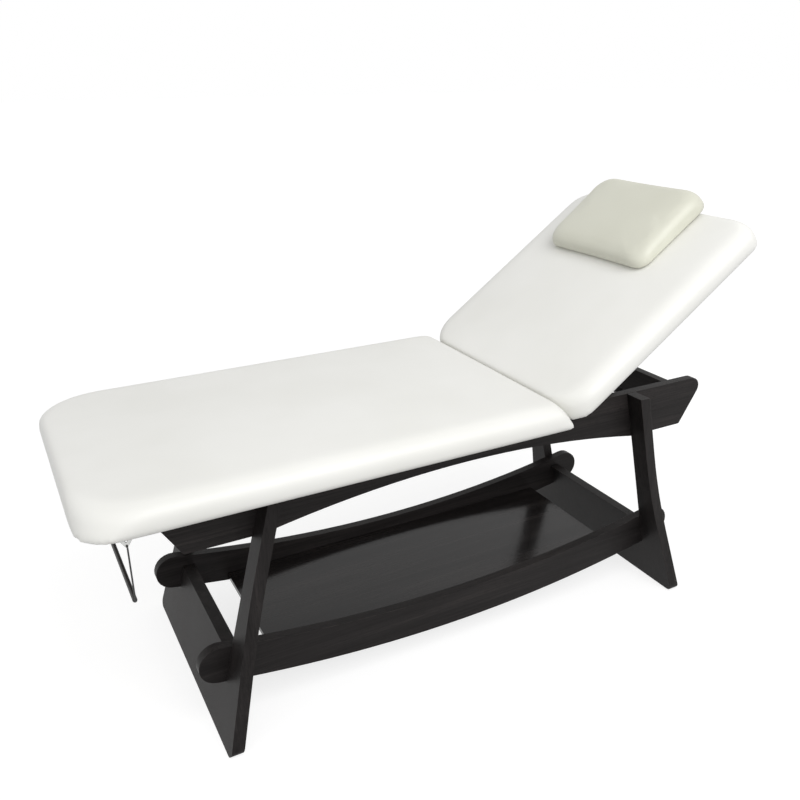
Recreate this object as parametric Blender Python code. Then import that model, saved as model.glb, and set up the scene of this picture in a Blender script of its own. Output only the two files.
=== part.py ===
"""Two-section beauty bed: padded seat and lifting backrest on a dark wooden trestle.

Metres, +Z up. +X is the head end, -Y the left side. The origin is on the floor,
under the middle of the bed's overall length and width.
Left pieces lie at -Y and right pieces at +Y.
"""

import math

import bmesh
import bpy
from mathutils import Vector

# Gaps and cutters
CLEARANCE = 0.0003
CUTTER_OVERRUN = 0.004

# Upper rails: two boards on edge, arched underneath, with slanted ends
PAD_OVERHANG = 0.150
RAIL_THICKNESS = 0.025
UPPER_RAIL_DEPTH = 0.1337
UPPER_RAIL_BOTTOM_HALF_LENGTH = 0.7185
UPPER_RAIL_END_SLANT = 0.0815
UPPER_RAIL_NOSE_RADIUS = 0.028
UPPER_RAIL_HEEL_RADIUS = 0.006
UPPER_RAIL_ARCH_HALF_SPAN = 0.537
UPPER_RAIL_ARCH_RISE = 0.050

# Pads: foam and vinyl over a board set flush in the underside
PAD_UNDERSIDE_Z = 0.6295
PAD_WIDTH = 0.700
PAD_EDGE_THICKNESS = 0.0615
PAD_CROWN = 0.004
PAD_TOP_EDGE_RADIUS = 0.026
PAD_BOTTOM_EDGE_RADIUS = 0.014
PAD_DRAW_IN = 0.003
PAD_END_INSET_SHARE = 0.6
SEAT_PAD_FOOT_X = -0.932
SEAT_PAD_HEAD_X = 0.2396
SEAT_PAD_CORNER_RADIUS = 0.080
SEAT_PAD_CORNER_GROWTH = 1.3
SEAT_PAD_END_BEVEL_DEG = 35.0
BACK_PAD_START = 0.0062
BACK_PAD_END = 0.706
BACK_PAD_CORNER_RADIUS = 0.055
BACK_PAD_CORNER_GROWTH = 0.3
BACK_PAD_END_BEVEL_DEG = 3.0
SEAT_HINGE_CORNER_RADIUS = 0.020
SEAT_HINGE_CORNER_GROWTH = 0.2
BACK_HINGE_CORNER_RADIUS = 0.060
BACK_HINGE_CORNER_GROWTH = 0.5
HINGE_END_INSET_SHARE = 0.4
BOARD_THICKNESS = 0.015
BOARD_MARGIN = 0.018
BOARD_HINGE_MARGIN = 0.022
BOARD_CORNER_RADIUS = 0.066
BOARD_HINGE_CORNER_RADIUS = 0.035

# Hinges between the two boards, each a pair of rolled leaves on a pin
BACK_ANGLE_DEG = 35.3
HINGE_X = 0.237
HINGE_INSET = 0.080
HINGE_PIN_RADIUS = 0.002
HINGE_PIN_OVERHANG = 0.0015
LEAF_THICKNESS = 0.002
LEAF_LENGTH = 0.080
LEAF_DEPTH = 0.050
LEAF_ROLL_END_DEG = -160.0

# End frames: U-shaped plates that lean outward towards the floor
PLATE_THICKNESS = 0.030
PLATE_LEAN_DEG = 14.0
PLATE_FOOT_INSET = 0.0268
POST_WIDTH = 0.055
FLARE_TOP_Z = 0.450
FLARE_END_Z = 0.200
FLARE_RADIUS = 1.470
PLATE_HEEL_RADIUS = 0.018
PANEL_TOP_Z = 0.193

# Lower rails: bowed boards with round ends, dropped into slots in the end frames
LOWER_RAIL_DEPTH = 0.095
LOWER_RAIL_BOTTOM_Z = 0.071
LOWER_RAIL_BOW_RADIUS = 3.680
LOWER_RAIL_END_INSET = 0.0222

# Crossbars between the upper rails, housed in their inner faces
CROSSBAR_THICKNESS = 0.025
CROSSBAR_HEIGHT = 0.084
CROSSBAR_TENON_LENGTH = 0.012
CROSSBAR_TENON_HEIGHT = 0.040
CROSSBAR_END_MARGIN = 0.0385
MIDDLE_CROSSBAR_X = 0.1375

# Shelf on two cleats
SHELF_TOP_Z = 0.132
SHELF_THICKNESS = 0.015
SHELF_FOOT_MARGIN = 0.1687
SHELF_HEAD_MARGIN = 0.1587
SHELF_CORNER_RADIUS = 0.003
CLEAT_HALF_LENGTH = 0.400
CLEAT_WIDTH = 0.020
CLEAT_HEIGHT = 0.020

# Bolts that clamp the upper rails to the posts
BOLT_RADIUS = 0.004
BOLT_GRIP_IN_POST = 0.040
BOLT_HEAD_RADIUS = 0.008
BOLT_HEAD_HEIGHT = 0.005
BOLT_HEAD_CHAMFER = 0.001
UPPER_BOLT_DROP = 0.017
LOWER_BOLT_RISE = 0.029

# Wood screws
SCREW_RADIUS = 0.002
SCREW_HEAD_RADIUS = 0.004
SCREW_HEAD_HEIGHT = 0.0025
SCREW_HEAD_CHAMFER = 0.0006
CLEAT_SCREW_BITE = 0.015
CLEAT_SCREW_X = 0.300
SEAT_SCREW_BITE = 0.011
SEAT_SCREW_INSET = 0.090
SEAT_SCREW_SEAT_DEPTH = 0.022
COUNTERBORE_RADIUS = 0.005

# Prop: a frame that swings under the backrest, with its foot bar on two racks
PROP_END_ROOM = 0.018
PROP_PIVOT_DROP = 0.0085
PROP_TRACK_DEG = -5.0
PROP_ROD_RADIUS = 0.005
PROP_BAR_RADIUS = 0.006
PROP_BAR_END_GAP = 0.008
PROP_ARM_THICKNESS = 0.005
PROP_ARM_HALF_WIDTH = 0.010
PROP_BLOCK_INSET = 0.020
PROP_BLOCK_WIDTH = 0.020
PROP_BLOCK_HALF_LENGTH = 0.022
PROP_BLOCK_NOSE_RADIUS = 0.010
PROP_ROD_OVERHANG = 0.003
PROP_ARM_GAP = 0.0005

# Racks: notched strips on the upper rails, one notch for each raised position
RACK_WIDTH = 0.020
RACK_HEIGHT = 0.036
RACK_END_MARGIN = 0.014
RACK_NOTCH_RADIUS = 0.0066
RACK_NOTCH_DEPTH = 0.0058
RACK_NOTCH_ANGLES_DEG = (35.3, 30.0, 22.0, 12.0)
RACK_STEEPEST_DEG = 38.0

# Pillow
PILLOW_LOW_EDGE = 0.447
PILLOW_DEPTH = 0.278
PILLOW_WIDTH = 0.404
PILLOW_CENTRE_Y = 0.020
PILLOW_EDGE_THICKNESS = 0.052
PILLOW_CROWN = 0.007
PILLOW_EDGE_RADIUS = 0.021
PILLOW_CORNER_RADIUS = 0.032
PILLOW_CORNER_GROWTH = 0.5
PILLOW_DRAW_IN = 0.004

# Roll holder: a bar on two wire arms that hang under the foot end
ROLL_PIVOT_X = -0.840
ROLL_PIVOT_DROP = 0.0235
ROLL_ARM_INSET = 0.030
ROLL_ARM_LENGTH = 0.128
ROLL_WIRE_RADIUS = 0.00175
ROLL_WIRE_STUB = 0.007
ROLL_WIRE_BEND = 0.004
ROLL_TUBE_RADIUS = 0.005
ROLL_TUBE_GAP = 0.002
ROLL_TUBE_BORE_DEPTH = 0.012
ROLL_TUBE_NOSE = 0.002
ROLL_BRACKET_HALF_SPAN = 0.018
ROLL_BRACKET_THICKNESS = 0.003
ROLL_BRACKET_STRAP = 0.0028
ROLL_BRACKET_EYE_RADIUS = 0.0045

# Facets: how finely curves are divided
ROUND_SIDES = 16
FASTENER_SIDES = 10
BORE_SIDES = 12
WIRE_SIDES = 8
FILLET_STEP_DEG = 15.0
CORNER_STEPS = 6
LONG_SIDE_STEPS = 8
SHORT_SIDE_STEPS = 3
TOP_ARC_STEPS = 4
BOTTOM_ARC_STEPS = 3
CROWN_RING_SHARES = (0.24, 0.46, 0.68)
INNER_CORNER_SHARE = 0.3
LARGEST_CORNER_SHARE = 0.8
BOW_STEPS = 24
ARCH_STEPS = 20
FLARE_STEPS = 6

# Places worked out from the driving dimensions
BACK_ANGLE = math.radians(BACK_ANGLE_DEG)
LEAN = math.tan(math.radians(PLATE_LEAN_DEG))
PLATE_SPAN_X = PLATE_THICKNESS / math.cos(math.radians(PLATE_LEAN_DEG))
RAIL_INNER_Y = PAD_WIDTH / 2 - PAD_OVERHANG
UPPER_RAIL_TOP_HALF_LENGTH = UPPER_RAIL_BOTTOM_HALF_LENGTH + UPPER_RAIL_END_SLANT
PLATE_FOOT_X = UPPER_RAIL_BOTTOM_HALF_LENGTH - PLATE_FOOT_INSET
LOWER_RAIL_END_CENTRE_X = PLATE_FOOT_X - LOWER_RAIL_END_INSET
SHELF_FOOT_X = SHELF_FOOT_MARGIN - PLATE_FOOT_X
SHELF_HEAD_X = PLATE_FOOT_X - SHELF_HEAD_MARGIN
END_CROSSBAR_OUTER_X = UPPER_RAIL_BOTTOM_HALF_LENGTH - CROSSBAR_END_MARGIN
END_CROSSBAR_INNER_X = END_CROSSBAR_OUTER_X - CROSSBAR_THICKNESS
HINGE_Y = RAIL_INNER_Y - HINGE_INSET
SEAT_SCREW_Y = RAIL_INNER_Y - SEAT_SCREW_INSET
PROP_BAR_HALF_LENGTH = RAIL_INNER_Y - PROP_BAR_END_GAP
PROP_BLOCK_OUTER_Y = RAIL_INNER_Y - PROP_BLOCK_INSET
PROP_PIVOT_ALONG = (END_CROSSBAR_INNER_X - PROP_END_ROOM - HINGE_X) / 2
ROLL_ARM_Y = PAD_WIDTH / 2 - ROLL_ARM_INSET
RAIL_OUTER_Y = RAIL_INNER_Y + RAIL_THICKNESS
RAIL_TOP_Z = PAD_UNDERSIDE_Z - CLEARANCE
UPPER_RAIL_BOTTOM_Z = RAIL_TOP_Z - UPPER_RAIL_DEPTH
KNUCKLE_INNER = HINGE_PIN_RADIUS + CLEARANCE
KNUCKLE_OUTER = KNUCKLE_INNER + LEAF_THICKNESS
HINGE_Z = PAD_UNDERSIDE_Z - CLEARANCE - KNUCKLE_OUTER
BACK_UNDERSIDE = PAD_UNDERSIDE_Z - HINGE_Z
POST_INNER_Y = RAIL_OUTER_Y + CLEARANCE
POST_OUTER_Y = POST_INNER_Y + POST_WIDTH
LOWER_RAIL_CENTRE_Z = LOWER_RAIL_BOTTOM_Z + LOWER_RAIL_BOW_RADIUS
SHELF_UNDERSIDE_Z = SHELF_TOP_Z - SHELF_THICKNESS
CLEAT_TOP_Z = SHELF_UNDERSIDE_Z - CLEARANCE
PROP_LENGTH = math.hypot(PROP_PIVOT_ALONG, PROP_PIVOT_DROP)
PROP_OFFSET = math.atan2(PROP_PIVOT_DROP, PROP_PIVOT_ALONG)
PROP_TRACK = math.radians(PROP_TRACK_DEG)
ROLL_PIVOT_Z = PAD_UNDERSIDE_Z - ROLL_PIVOT_DROP


def remove_everything():
    """Empty the scene that the script starts in."""
    for thing in list(bpy.data.objects):
        bpy.data.objects.remove(thing, do_unlink=True)


# Materials: colour, roughness and metallic value of each finish
FINISHES = {
    "wenge": ((0.035, 0.032, 0.032), 0.35, 0.0),
    "vinyl": ((0.86, 0.85, 0.81), 0.42, 0.0),
    "pillow_vinyl": ((0.80, 0.79, 0.72), 0.42, 0.0),
    "plywood": ((0.55, 0.42, 0.27), 0.65, 0.0),
    "steel": ((0.62, 0.62, 0.62), 0.30, 1.0),
    "black_metal": ((0.02, 0.02, 0.02), 0.40, 0.0),
}


def material(name):
    """The Principled material of one finish, made the first time it is asked for."""
    if name in bpy.data.materials:
        return bpy.data.materials[name]
    colour, roughness, metallic = FINISHES[name]
    made = bpy.data.materials.new(name)
    made.use_nodes = True
    shader = made.node_tree.nodes["Principled BSDF"]
    shader.inputs["Base Color"].default_value = (*colour, 1.0)
    shader.inputs["Roughness"].default_value = roughness
    shader.inputs["Metallic"].default_value = metallic
    return made


def pivot(name, parent, location, angle=0.0):
    """An empty that carries pieces. Its +X is raised by the angle about the Y axis."""
    empty = bpy.data.objects.new(name, None)
    bpy.context.collection.objects.link(empty)
    empty.parent = parent
    empty.location = location
    empty.rotation_euler = (0.0, -angle, 0.0)
    return empty


def loft(body, rings):
    """Add one closed solid to the bmesh: rings joined in order, with a cap at each end."""
    loops = [[body.verts.new(point) for point in ring] for ring in rings]
    for near, far in zip(loops, loops[1:]):
        for index, start in enumerate(near):
            following = (index + 1) % len(near)
            body.faces.new((start, near[following], far[following], far[index]))
    body.faces.new(reversed(loops[0]))
    body.faces.new(loops[-1])


def mesh_of(name, solids):
    """A mesh holding one or more lofted solids, smooth except at its edges."""
    body = bmesh.new()
    for rings in solids:
        loft(body, rings)
    bmesh.ops.recalc_face_normals(body, faces=body.faces)
    mesh = bpy.data.meshes.new(name)
    body.to_mesh(mesh)
    body.free()
    mesh.shade_smooth()
    mesh.set_sharp_from_angle(angle=math.radians(32.0))
    return mesh


def piece(name, mesh, finish, parent, location=(0.0, 0.0, 0.0), rotation=(0.0, 0.0, 0.0)):
    """One named sub-part."""
    made = bpy.data.objects.new(name, mesh)
    bpy.context.collection.objects.link(made)
    made.parent = parent
    made.location = location
    made.rotation_euler = rotation
    mesh.materials.clear()
    mesh.materials.append(material(finish))
    return made


def cut(made, solids):
    """Cut one or more lofted solids, given in the piece's own frame, out of a piece."""
    name = made.name + "_cutter"
    cutter = bpy.data.objects.new(name, mesh_of(name, solids))
    bpy.context.collection.objects.link(cutter)
    cutter.parent = made.parent
    cutter.location = made.location
    cutter.rotation_euler = made.rotation_euler
    cutter.hide_render = True
    cutter.display_type = "WIRE"
    modifier = made.modifiers.new(name, "BOOLEAN")
    modifier.operation = "DIFFERENCE"
    modifier.solver = "EXACT"
    modifier.object = cutter


def arc(centre_u, centre_v, radius, start, end, steps):
    """Points along an arc, in a plane, from one angle to another in radians."""
    angles = [start + (end - start) * step / steps for step in range(steps + 1)]
    return [(centre_u + radius * math.cos(a), centre_v + radius * math.sin(a)) for a in angles]


def filleted(corners):
    """An outline from corners (u, v, radius), each rounded by an arc of its radius."""
    outline = []
    for index, (u, v, radius) in enumerate(corners):
        if radius == 0:
            outline.append((u, v))
            continue
        here = Vector((u, v))
        before = (Vector(corners[index - 1][:2]) - here).normalized()
        after = (Vector(corners[(index + 1) % len(corners)][:2]) - here).normalized()
        half = before.angle(after) / 2
        centre = here + (before + after).normalized() * radius / math.sin(half)
        first = here + before * radius / math.tan(half) - centre
        last = here + after * radius / math.tan(half) - centre
        start = math.atan2(first.y, first.x)
        turn = math.remainder(math.atan2(last.y, last.x) - start, math.tau)
        steps = max(2, math.ceil(abs(turn) / math.radians(FILLET_STEP_DEG)))
        outline += arc(centre.x, centre.y, radius, start, start + turn, steps)
    return outline


def extruded_y(outline, low_y, high_y):
    """Rings of an XZ outline extruded along Y."""
    return [[(x, y, z) for x, z in outline] for y in (low_y, high_y)]


def extruded_z(outline, low_z, high_z):
    """Rings of an XY outline extruded along Z."""
    return [[(x, y, z) for x, y in outline] for z in (low_z, high_z)]


def extruded_x(outline, low_x, high_x):
    """Rings of a YZ outline extruded along X."""
    return [[(x, y, z) for y, z in outline] for x in (low_x, high_x)]


def box(low, high):
    """Rings of a box between two corners."""
    outline = [(low[0], low[1]), (high[0], low[1]), (high[0], high[1]), (low[0], high[1])]
    return extruded_z(outline, low[2], high[2])


def turned(profile, sides=ROUND_SIDES):
    """Rings about the Z axis from a profile of (radius, height) pairs."""
    turns = [math.tau * side / sides for side in range(sides)]
    return [[(r * math.cos(a), r * math.sin(a), z) for a in turns] for r, z in profile]


def bore_y(x, z, radius, low_y, high_y):
    """Rings of a round cutter that runs along Y."""
    outline = arc(x, z, radius, 0.0, math.tau, BORE_SIDES)[:-1]
    return extruded_y(outline, low_y, high_y)


def bore_z(x, y, radius, low_z, high_z):
    """Rings of a round cutter that runs along Z."""
    outline = arc(x, y, radius, 0.0, math.tau, BORE_SIDES)[:-1]
    return extruded_z(outline, low_z, high_z)


def outward(side, low_y, high_y):
    """A pair of Y limits given for the right side, moved to the asked side in rising order."""
    return tuple(sorted((side * low_y, side * high_y)))


# Sides of the bed: name and sign of Y
SIDES = (("left", -1), ("right", 1))

# Ends of the bed: name and sign of X
ENDS = (("foot", -1), ("head", 1))


def plate_outer_x(z):
    """X of an end frame's outer face, head end, at a height."""
    return PLATE_FOOT_X - LEAN * z


def plate_middle_x(z):
    """X of an end frame's middle plane, head end, at a height."""
    return plate_outer_x(z) - PLATE_SPAN_X / 2


def slot_floor_z(inward):
    """Height of a lower rail's slot floor on the plate face that lies this far inward."""
    z = LOWER_RAIL_BOTTOM_Z
    for _ in range(12):
        x = plate_outer_x(z) - inward
        z = LOWER_RAIL_CENTRE_Z - math.sqrt(LOWER_RAIL_BOW_RADIUS**2 - x**2) - CLEARANCE
    return z


def flare_outline():
    """Outer edge of a post from its foot corner to its top, as (y, z, fillet radius)."""
    centre_y = POST_OUTER_Y + FLARE_RADIUS
    end = math.asin((FLARE_TOP_Z - FLARE_END_Z) / FLARE_RADIUS)
    bend = arc(centre_y, FLARE_TOP_Z, FLARE_RADIUS, math.pi + end, math.pi, FLARE_STEPS)
    foot_y = bend[0][0] + FLARE_END_Z * math.tan(end)
    return [(foot_y, 0.0, PLATE_HEEL_RADIUS)] + [(y, z, 0.0) for y, z in bend]


def end_frame_face(inward):
    """Outline of one face of an end frame, as (y, z) points."""
    slot_z = slot_floor_z(inward)
    slot_inner_y = RAIL_INNER_Y - CLEARANCE
    half = flare_outline() + [
        (POST_OUTER_Y, RAIL_TOP_Z, 0.0),
        (POST_INNER_Y, RAIL_TOP_Z, 0.0),
        (POST_INNER_Y, slot_z, 0.0),
        (slot_inner_y, slot_z, 0.0),
        (slot_inner_y, PANEL_TOP_Z, 0.0),
    ]
    mirrored = [(-y, z, radius) for y, z, radius in reversed(half)]
    return filleted(half + mirrored)


def bolt_places():
    """Height and X of the two bolts at each post, head end."""
    heights = (RAIL_TOP_Z - UPPER_BOLT_DROP, UPPER_RAIL_BOTTOM_Z + LOWER_BOLT_RISE)
    return [(z, plate_middle_x(z)) for z in heights]


def end_frames(base):
    """The two leaning U-shaped plates, with blind bolt holes in their posts."""
    for end, sign in ENDS:
        faces = []
        for inward in (0.0, PLATE_SPAN_X):
            outline = end_frame_face(inward)
            faces.append([(sign * (plate_outer_x(z) - inward), y, z) for y, z in outline])
        plate = piece(end + "_end_frame", mesh_of(end + "_end_frame", [faces]), "wenge", base)
        holes = []
        for _, side in SIDES:
            low, high = outward(
                side, POST_INNER_Y - CUTTER_OVERRUN, RAIL_OUTER_Y + BOLT_GRIP_IN_POST + CLEARANCE
            )
            for z, x in bolt_places():
                holes.append(bore_y(sign * x, z, BOLT_RADIUS + CLEARANCE, low, high))
        cut(plate, holes)


def upper_rail_outline():
    """Side view of an upper rail: straight top, slanted ends, arched lower edge."""
    span = UPPER_RAIL_ARCH_HALF_SPAN
    rise = UPPER_RAIL_ARCH_RISE
    radius = (span**2 + rise**2) / (2 * rise)
    half_turn = math.asin(span / radius)
    centre_z = UPPER_RAIL_BOTTOM_Z + rise - radius
    up = math.pi / 2
    arch = arc(0.0, centre_z, radius, up + half_turn, up - half_turn, ARCH_STEPS)
    top = UPPER_RAIL_TOP_HALF_LENGTH
    bottom = UPPER_RAIL_BOTTOM_HALF_LENGTH
    corners = [(-top, RAIL_TOP_Z, UPPER_RAIL_NOSE_RADIUS)]
    corners += [(-bottom, UPPER_RAIL_BOTTOM_Z, UPPER_RAIL_HEEL_RADIUS)]
    corners += [(x, z, 0.0) for x, z in arch]
    corners += [(bottom, UPPER_RAIL_BOTTOM_Z, UPPER_RAIL_HEEL_RADIUS)]
    corners += [(top, RAIL_TOP_Z, UPPER_RAIL_NOSE_RADIUS)]
    return filleted(corners)


def crossbar_ranges():
    """Name and X limits of each crossbar."""
    half = CROSSBAR_THICKNESS / 2
    return (
        ("foot_crossbar", -END_CROSSBAR_OUTER_X, -END_CROSSBAR_INNER_X),
        ("middle_crossbar", MIDDLE_CROSSBAR_X - half, MIDDLE_CROSSBAR_X + half),
        ("head_crossbar", END_CROSSBAR_INNER_X, END_CROSSBAR_OUTER_X),
    )


def tenon_heights():
    """Lower and upper Z of the crossbars' tenons."""
    middle = RAIL_TOP_Z - CROSSBAR_HEIGHT / 2
    return middle - CROSSBAR_TENON_HEIGHT / 2, middle + CROSSBAR_TENON_HEIGHT / 2


def upper_rails(base):
    """The two upper rails, drilled for the bolts and housed for the crossbars."""
    tenon_low, tenon_high = tenon_heights()
    for name, side in SIDES:
        low, high = outward(side, RAIL_INNER_Y, RAIL_OUTER_Y)
        rings = extruded_y(upper_rail_outline(), low, high)
        rail = piece("upper_rail_" + name, mesh_of("upper_rail_" + name, [rings]), "wenge", base)
        cuts = []
        past = outward(side, RAIL_INNER_Y - CUTTER_OVERRUN, RAIL_OUTER_Y + CUTTER_OVERRUN)
        for z, x in bolt_places():
            for sign in (-1, 1):
                cuts.append(bore_y(sign * x, z, BOLT_RADIUS + CLEARANCE, *past))
        housing = outward(
            side, RAIL_INNER_Y - CUTTER_OVERRUN, RAIL_INNER_Y + CROSSBAR_TENON_LENGTH
        )
        for _, low_x, high_x in crossbar_ranges():
            corner = (low_x - CLEARANCE, housing[0], tenon_low - CLEARANCE)
            opposite = (high_x + CLEARANCE, housing[1], tenon_high + CLEARANCE)
            cuts.append(box(corner, opposite))
        cut(rail, cuts)


def crossbars(base):
    """Three bars between the upper rails. Two carry the seat board on screws from below."""
    tenon_low, tenon_high = tenon_heights()
    low_z = RAIL_TOP_Z - CROSSBAR_HEIGHT
    shoulder = RAIL_INNER_Y - CLEARANCE
    tip = RAIL_INNER_Y + CROSSBAR_TENON_LENGTH - CLEARANCE
    half = [
        (shoulder, low_z),
        (shoulder, tenon_low),
        (tip, tenon_low),
        (tip, tenon_high),
        (shoulder, tenon_high),
        (shoulder, RAIL_TOP_Z),
    ]
    outline = half + [(-y, z) for y, z in reversed(half)]
    for name, low_x, high_x in crossbar_ranges():
        rings = extruded_x(outline, low_x, high_x)
        bar = piece(name, mesh_of(name, [rings]), "wenge", base)
        if name == "head_crossbar":
            continue
        x = (low_x + high_x) / 2
        seat_z = RAIL_TOP_Z - SEAT_SCREW_SEAT_DEPTH
        holes = []
        for side in (-1, 1):
            y = side * SEAT_SCREW_Y
            # A stepped hole in one solid: wide up to the screw's seat, narrow above it
            steps = [
                (COUNTERBORE_RADIUS, low_z - CUTTER_OVERRUN),
                (COUNTERBORE_RADIUS, seat_z),
                (SCREW_RADIUS + CLEARANCE, seat_z),
                (SCREW_RADIUS + CLEARANCE, RAIL_TOP_Z + CUTTER_OVERRUN),
            ]
            rings = turned(steps, BORE_SIDES)
            holes.append([[(x + px, y + py, pz) for px, py, pz in ring] for ring in rings])
        cut(bar, holes)


def lower_rail_outline():
    """Side view of a lower rail: two concentric bows joined by round ends."""
    depth = LOWER_RAIL_DEPTH
    outer = LOWER_RAIL_BOW_RADIUS
    inner = outer - depth
    middle = outer - depth / 2
    half_turn = math.asin(LOWER_RAIL_END_CENTRE_X / middle)
    down = -math.pi / 2
    bottom = arc(0.0, LOWER_RAIL_CENTRE_Z, outer, down - half_turn, down + half_turn, BOW_STEPS)
    top = arc(0.0, LOWER_RAIL_CENTRE_Z, inner, down + half_turn, down - half_turn, BOW_STEPS)
    steps = round(180.0 / FILLET_STEP_DEG)
    ends = []
    for sign in (1, -1):
        angle = down + sign * half_turn
        end_x = middle * math.cos(angle)
        end_z = LOWER_RAIL_CENTRE_Z + middle * math.sin(angle)
        first = angle if sign == 1 else angle + math.pi
        ends.append(arc(end_x, end_z, depth / 2, first, first + math.pi, steps)[1:-1])
    return bottom + ends[0] + top + ends[1]


def lower_rails(base):
    """The two lower rails, with pilot holes for the cleats' screws."""
    outline = lower_rail_outline()
    for name, side in SIDES:
        low, high = outward(side, RAIL_INNER_Y, RAIL_OUTER_Y)
        rings = extruded_y(outline, low, high)
        rail = piece("lower_rail_" + name, mesh_of("lower_rail_" + name, [rings]), "wenge", base)
        depth = RAIL_INNER_Y + CLEAT_SCREW_BITE + CLEARANCE
        limits = outward(side, RAIL_INNER_Y - CUTTER_OVERRUN, depth)
        z = CLEAT_TOP_Z - CLEAT_HEIGHT / 2
        radius = SCREW_RADIUS + CLEARANCE
        cut(rail, [bore_y(sign * CLEAT_SCREW_X, z, radius, *limits) for sign in (-1, 1)])


def shelf_and_cleats(base):
    """The flat shelf between the lower rails and the strips that carry it."""
    half_width = RAIL_INNER_Y - CLEARANCE
    corners = [
        (SHELF_HEAD_X, half_width, SHELF_CORNER_RADIUS),
        (SHELF_FOOT_X, half_width, SHELF_CORNER_RADIUS),
        (SHELF_FOOT_X, -half_width, SHELF_CORNER_RADIUS),
        (SHELF_HEAD_X, -half_width, SHELF_CORNER_RADIUS),
    ]
    rings = extruded_z(filleted(corners), SHELF_UNDERSIDE_Z, SHELF_TOP_Z)
    piece("shelf", mesh_of("shelf", [rings]), "wenge", base)
    inner_y = half_width - CLEAT_WIDTH
    for name, side in SIDES:
        low, high = outward(side, inner_y, half_width)
        low_z = CLEAT_TOP_Z - CLEAT_HEIGHT
        rings = box((-CLEAT_HALF_LENGTH, low, low_z), (CLEAT_HALF_LENGTH, high, CLEAT_TOP_Z))
        cleat = piece("shelf_cleat_" + name, mesh_of("shelf_cleat", [rings]), "wenge", base)
        limits = outward(side, inner_y - CUTTER_OVERRUN, half_width + CUTTER_OVERRUN)
        z = CLEAT_TOP_Z - CLEAT_HEIGHT / 2
        radius = SCREW_RADIUS + CLEARANCE
        cut(cleat, [bore_y(sign * CLEAT_SCREW_X, z, radius, *limits) for sign in (-1, 1)])
        for end, sign in ENDS:
            screw = fastener_mesh(SCREW, CLEAT_WIDTH + CLEARANCE + CLEAT_SCREW_BITE)
            place = (sign * CLEAT_SCREW_X, side * (inner_y - CLEARANCE), z)
            turn = (-side * math.pi / 2, 0.0, 0.0)
            piece("cleat_screw_" + name + "_" + end, screw, "steel", base, place, turn)


# Fastener sections: shank radius, head radius, head height, chamfer
BOLT = (BOLT_RADIUS, BOLT_HEAD_RADIUS, BOLT_HEAD_HEIGHT, BOLT_HEAD_CHAMFER)
SCREW = (SCREW_RADIUS, SCREW_HEAD_RADIUS, SCREW_HEAD_HEIGHT, SCREW_HEAD_CHAMFER)


def fastener_mesh(section, reach):
    """A bolt or screw along +Z: its head below z = 0 and its shank reaching up."""
    shank, head, height, chamfer = section
    profile = [
        (head - chamfer, -height),
        (head, chamfer - height),
        (head, 0.0),
        (shank, 0.0),
        (shank, reach - chamfer),
        (shank - chamfer, reach),
    ]
    return mesh_of("fastener", [turned(profile, FASTENER_SIDES)])


def frame_bolts(base):
    """Two bolts at each post, put in from the inner face of the upper rail."""
    reach = CLEARANCE + RAIL_THICKNESS + BOLT_GRIP_IN_POST
    for end, sign in ENDS:
        for name, side in SIDES:
            for level, (z, x) in zip(("top", "bottom"), bolt_places()):
                place = (sign * x, side * (RAIL_INNER_Y - CLEARANCE), z)
                turn = (-side * math.pi / 2, 0.0, 0.0)
                label = "frame_bolt_" + end + "_" + name + "_" + level
                piece(label, fastener_mesh(BOLT, reach), "steel", base, place, turn)


def rounded_ring(low_x, high_x, half_width, low_radius, high_radius, draw_in, z):
    """A level ring of a cushion: a rounded rectangle whose long sides draw in midway."""
    corners = (
        (high_x - high_radius, -half_width + high_radius, high_radius, -math.pi / 2),
        (high_x - high_radius, half_width - high_radius, high_radius, 0.0),
        (low_x + low_radius, half_width - low_radius, low_radius, math.pi / 2),
        (low_x + low_radius, -half_width + low_radius, low_radius, math.pi),
    )
    ring = []
    for index, (x, y, radius, start) in enumerate(corners):
        bend = arc(x, y, radius, start, start + math.pi / 2, CORNER_STEPS)
        ring += [(px, py, z) for px, py in bend]
        next_x, next_y, next_radius, next_start = corners[(index + 1) % 4]
        last = bend[-1]
        target = (
            next_x + next_radius * math.cos(next_start), next_y + next_radius * math.sin(next_start)
        )
        long_side = index in (1, 3)
        steps = LONG_SIDE_STEPS if long_side else SHORT_SIDE_STEPS
        for step in range(1, steps):
            share = step / steps
            px = last[0] + (target[0] - last[0]) * share
            py = last[1] + (target[1] - last[1]) * share
            if long_side:
                py -= math.copysign(draw_in * math.sin(math.pi * share), py)
            ring.append((px, py, z))
    return ring


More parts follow.
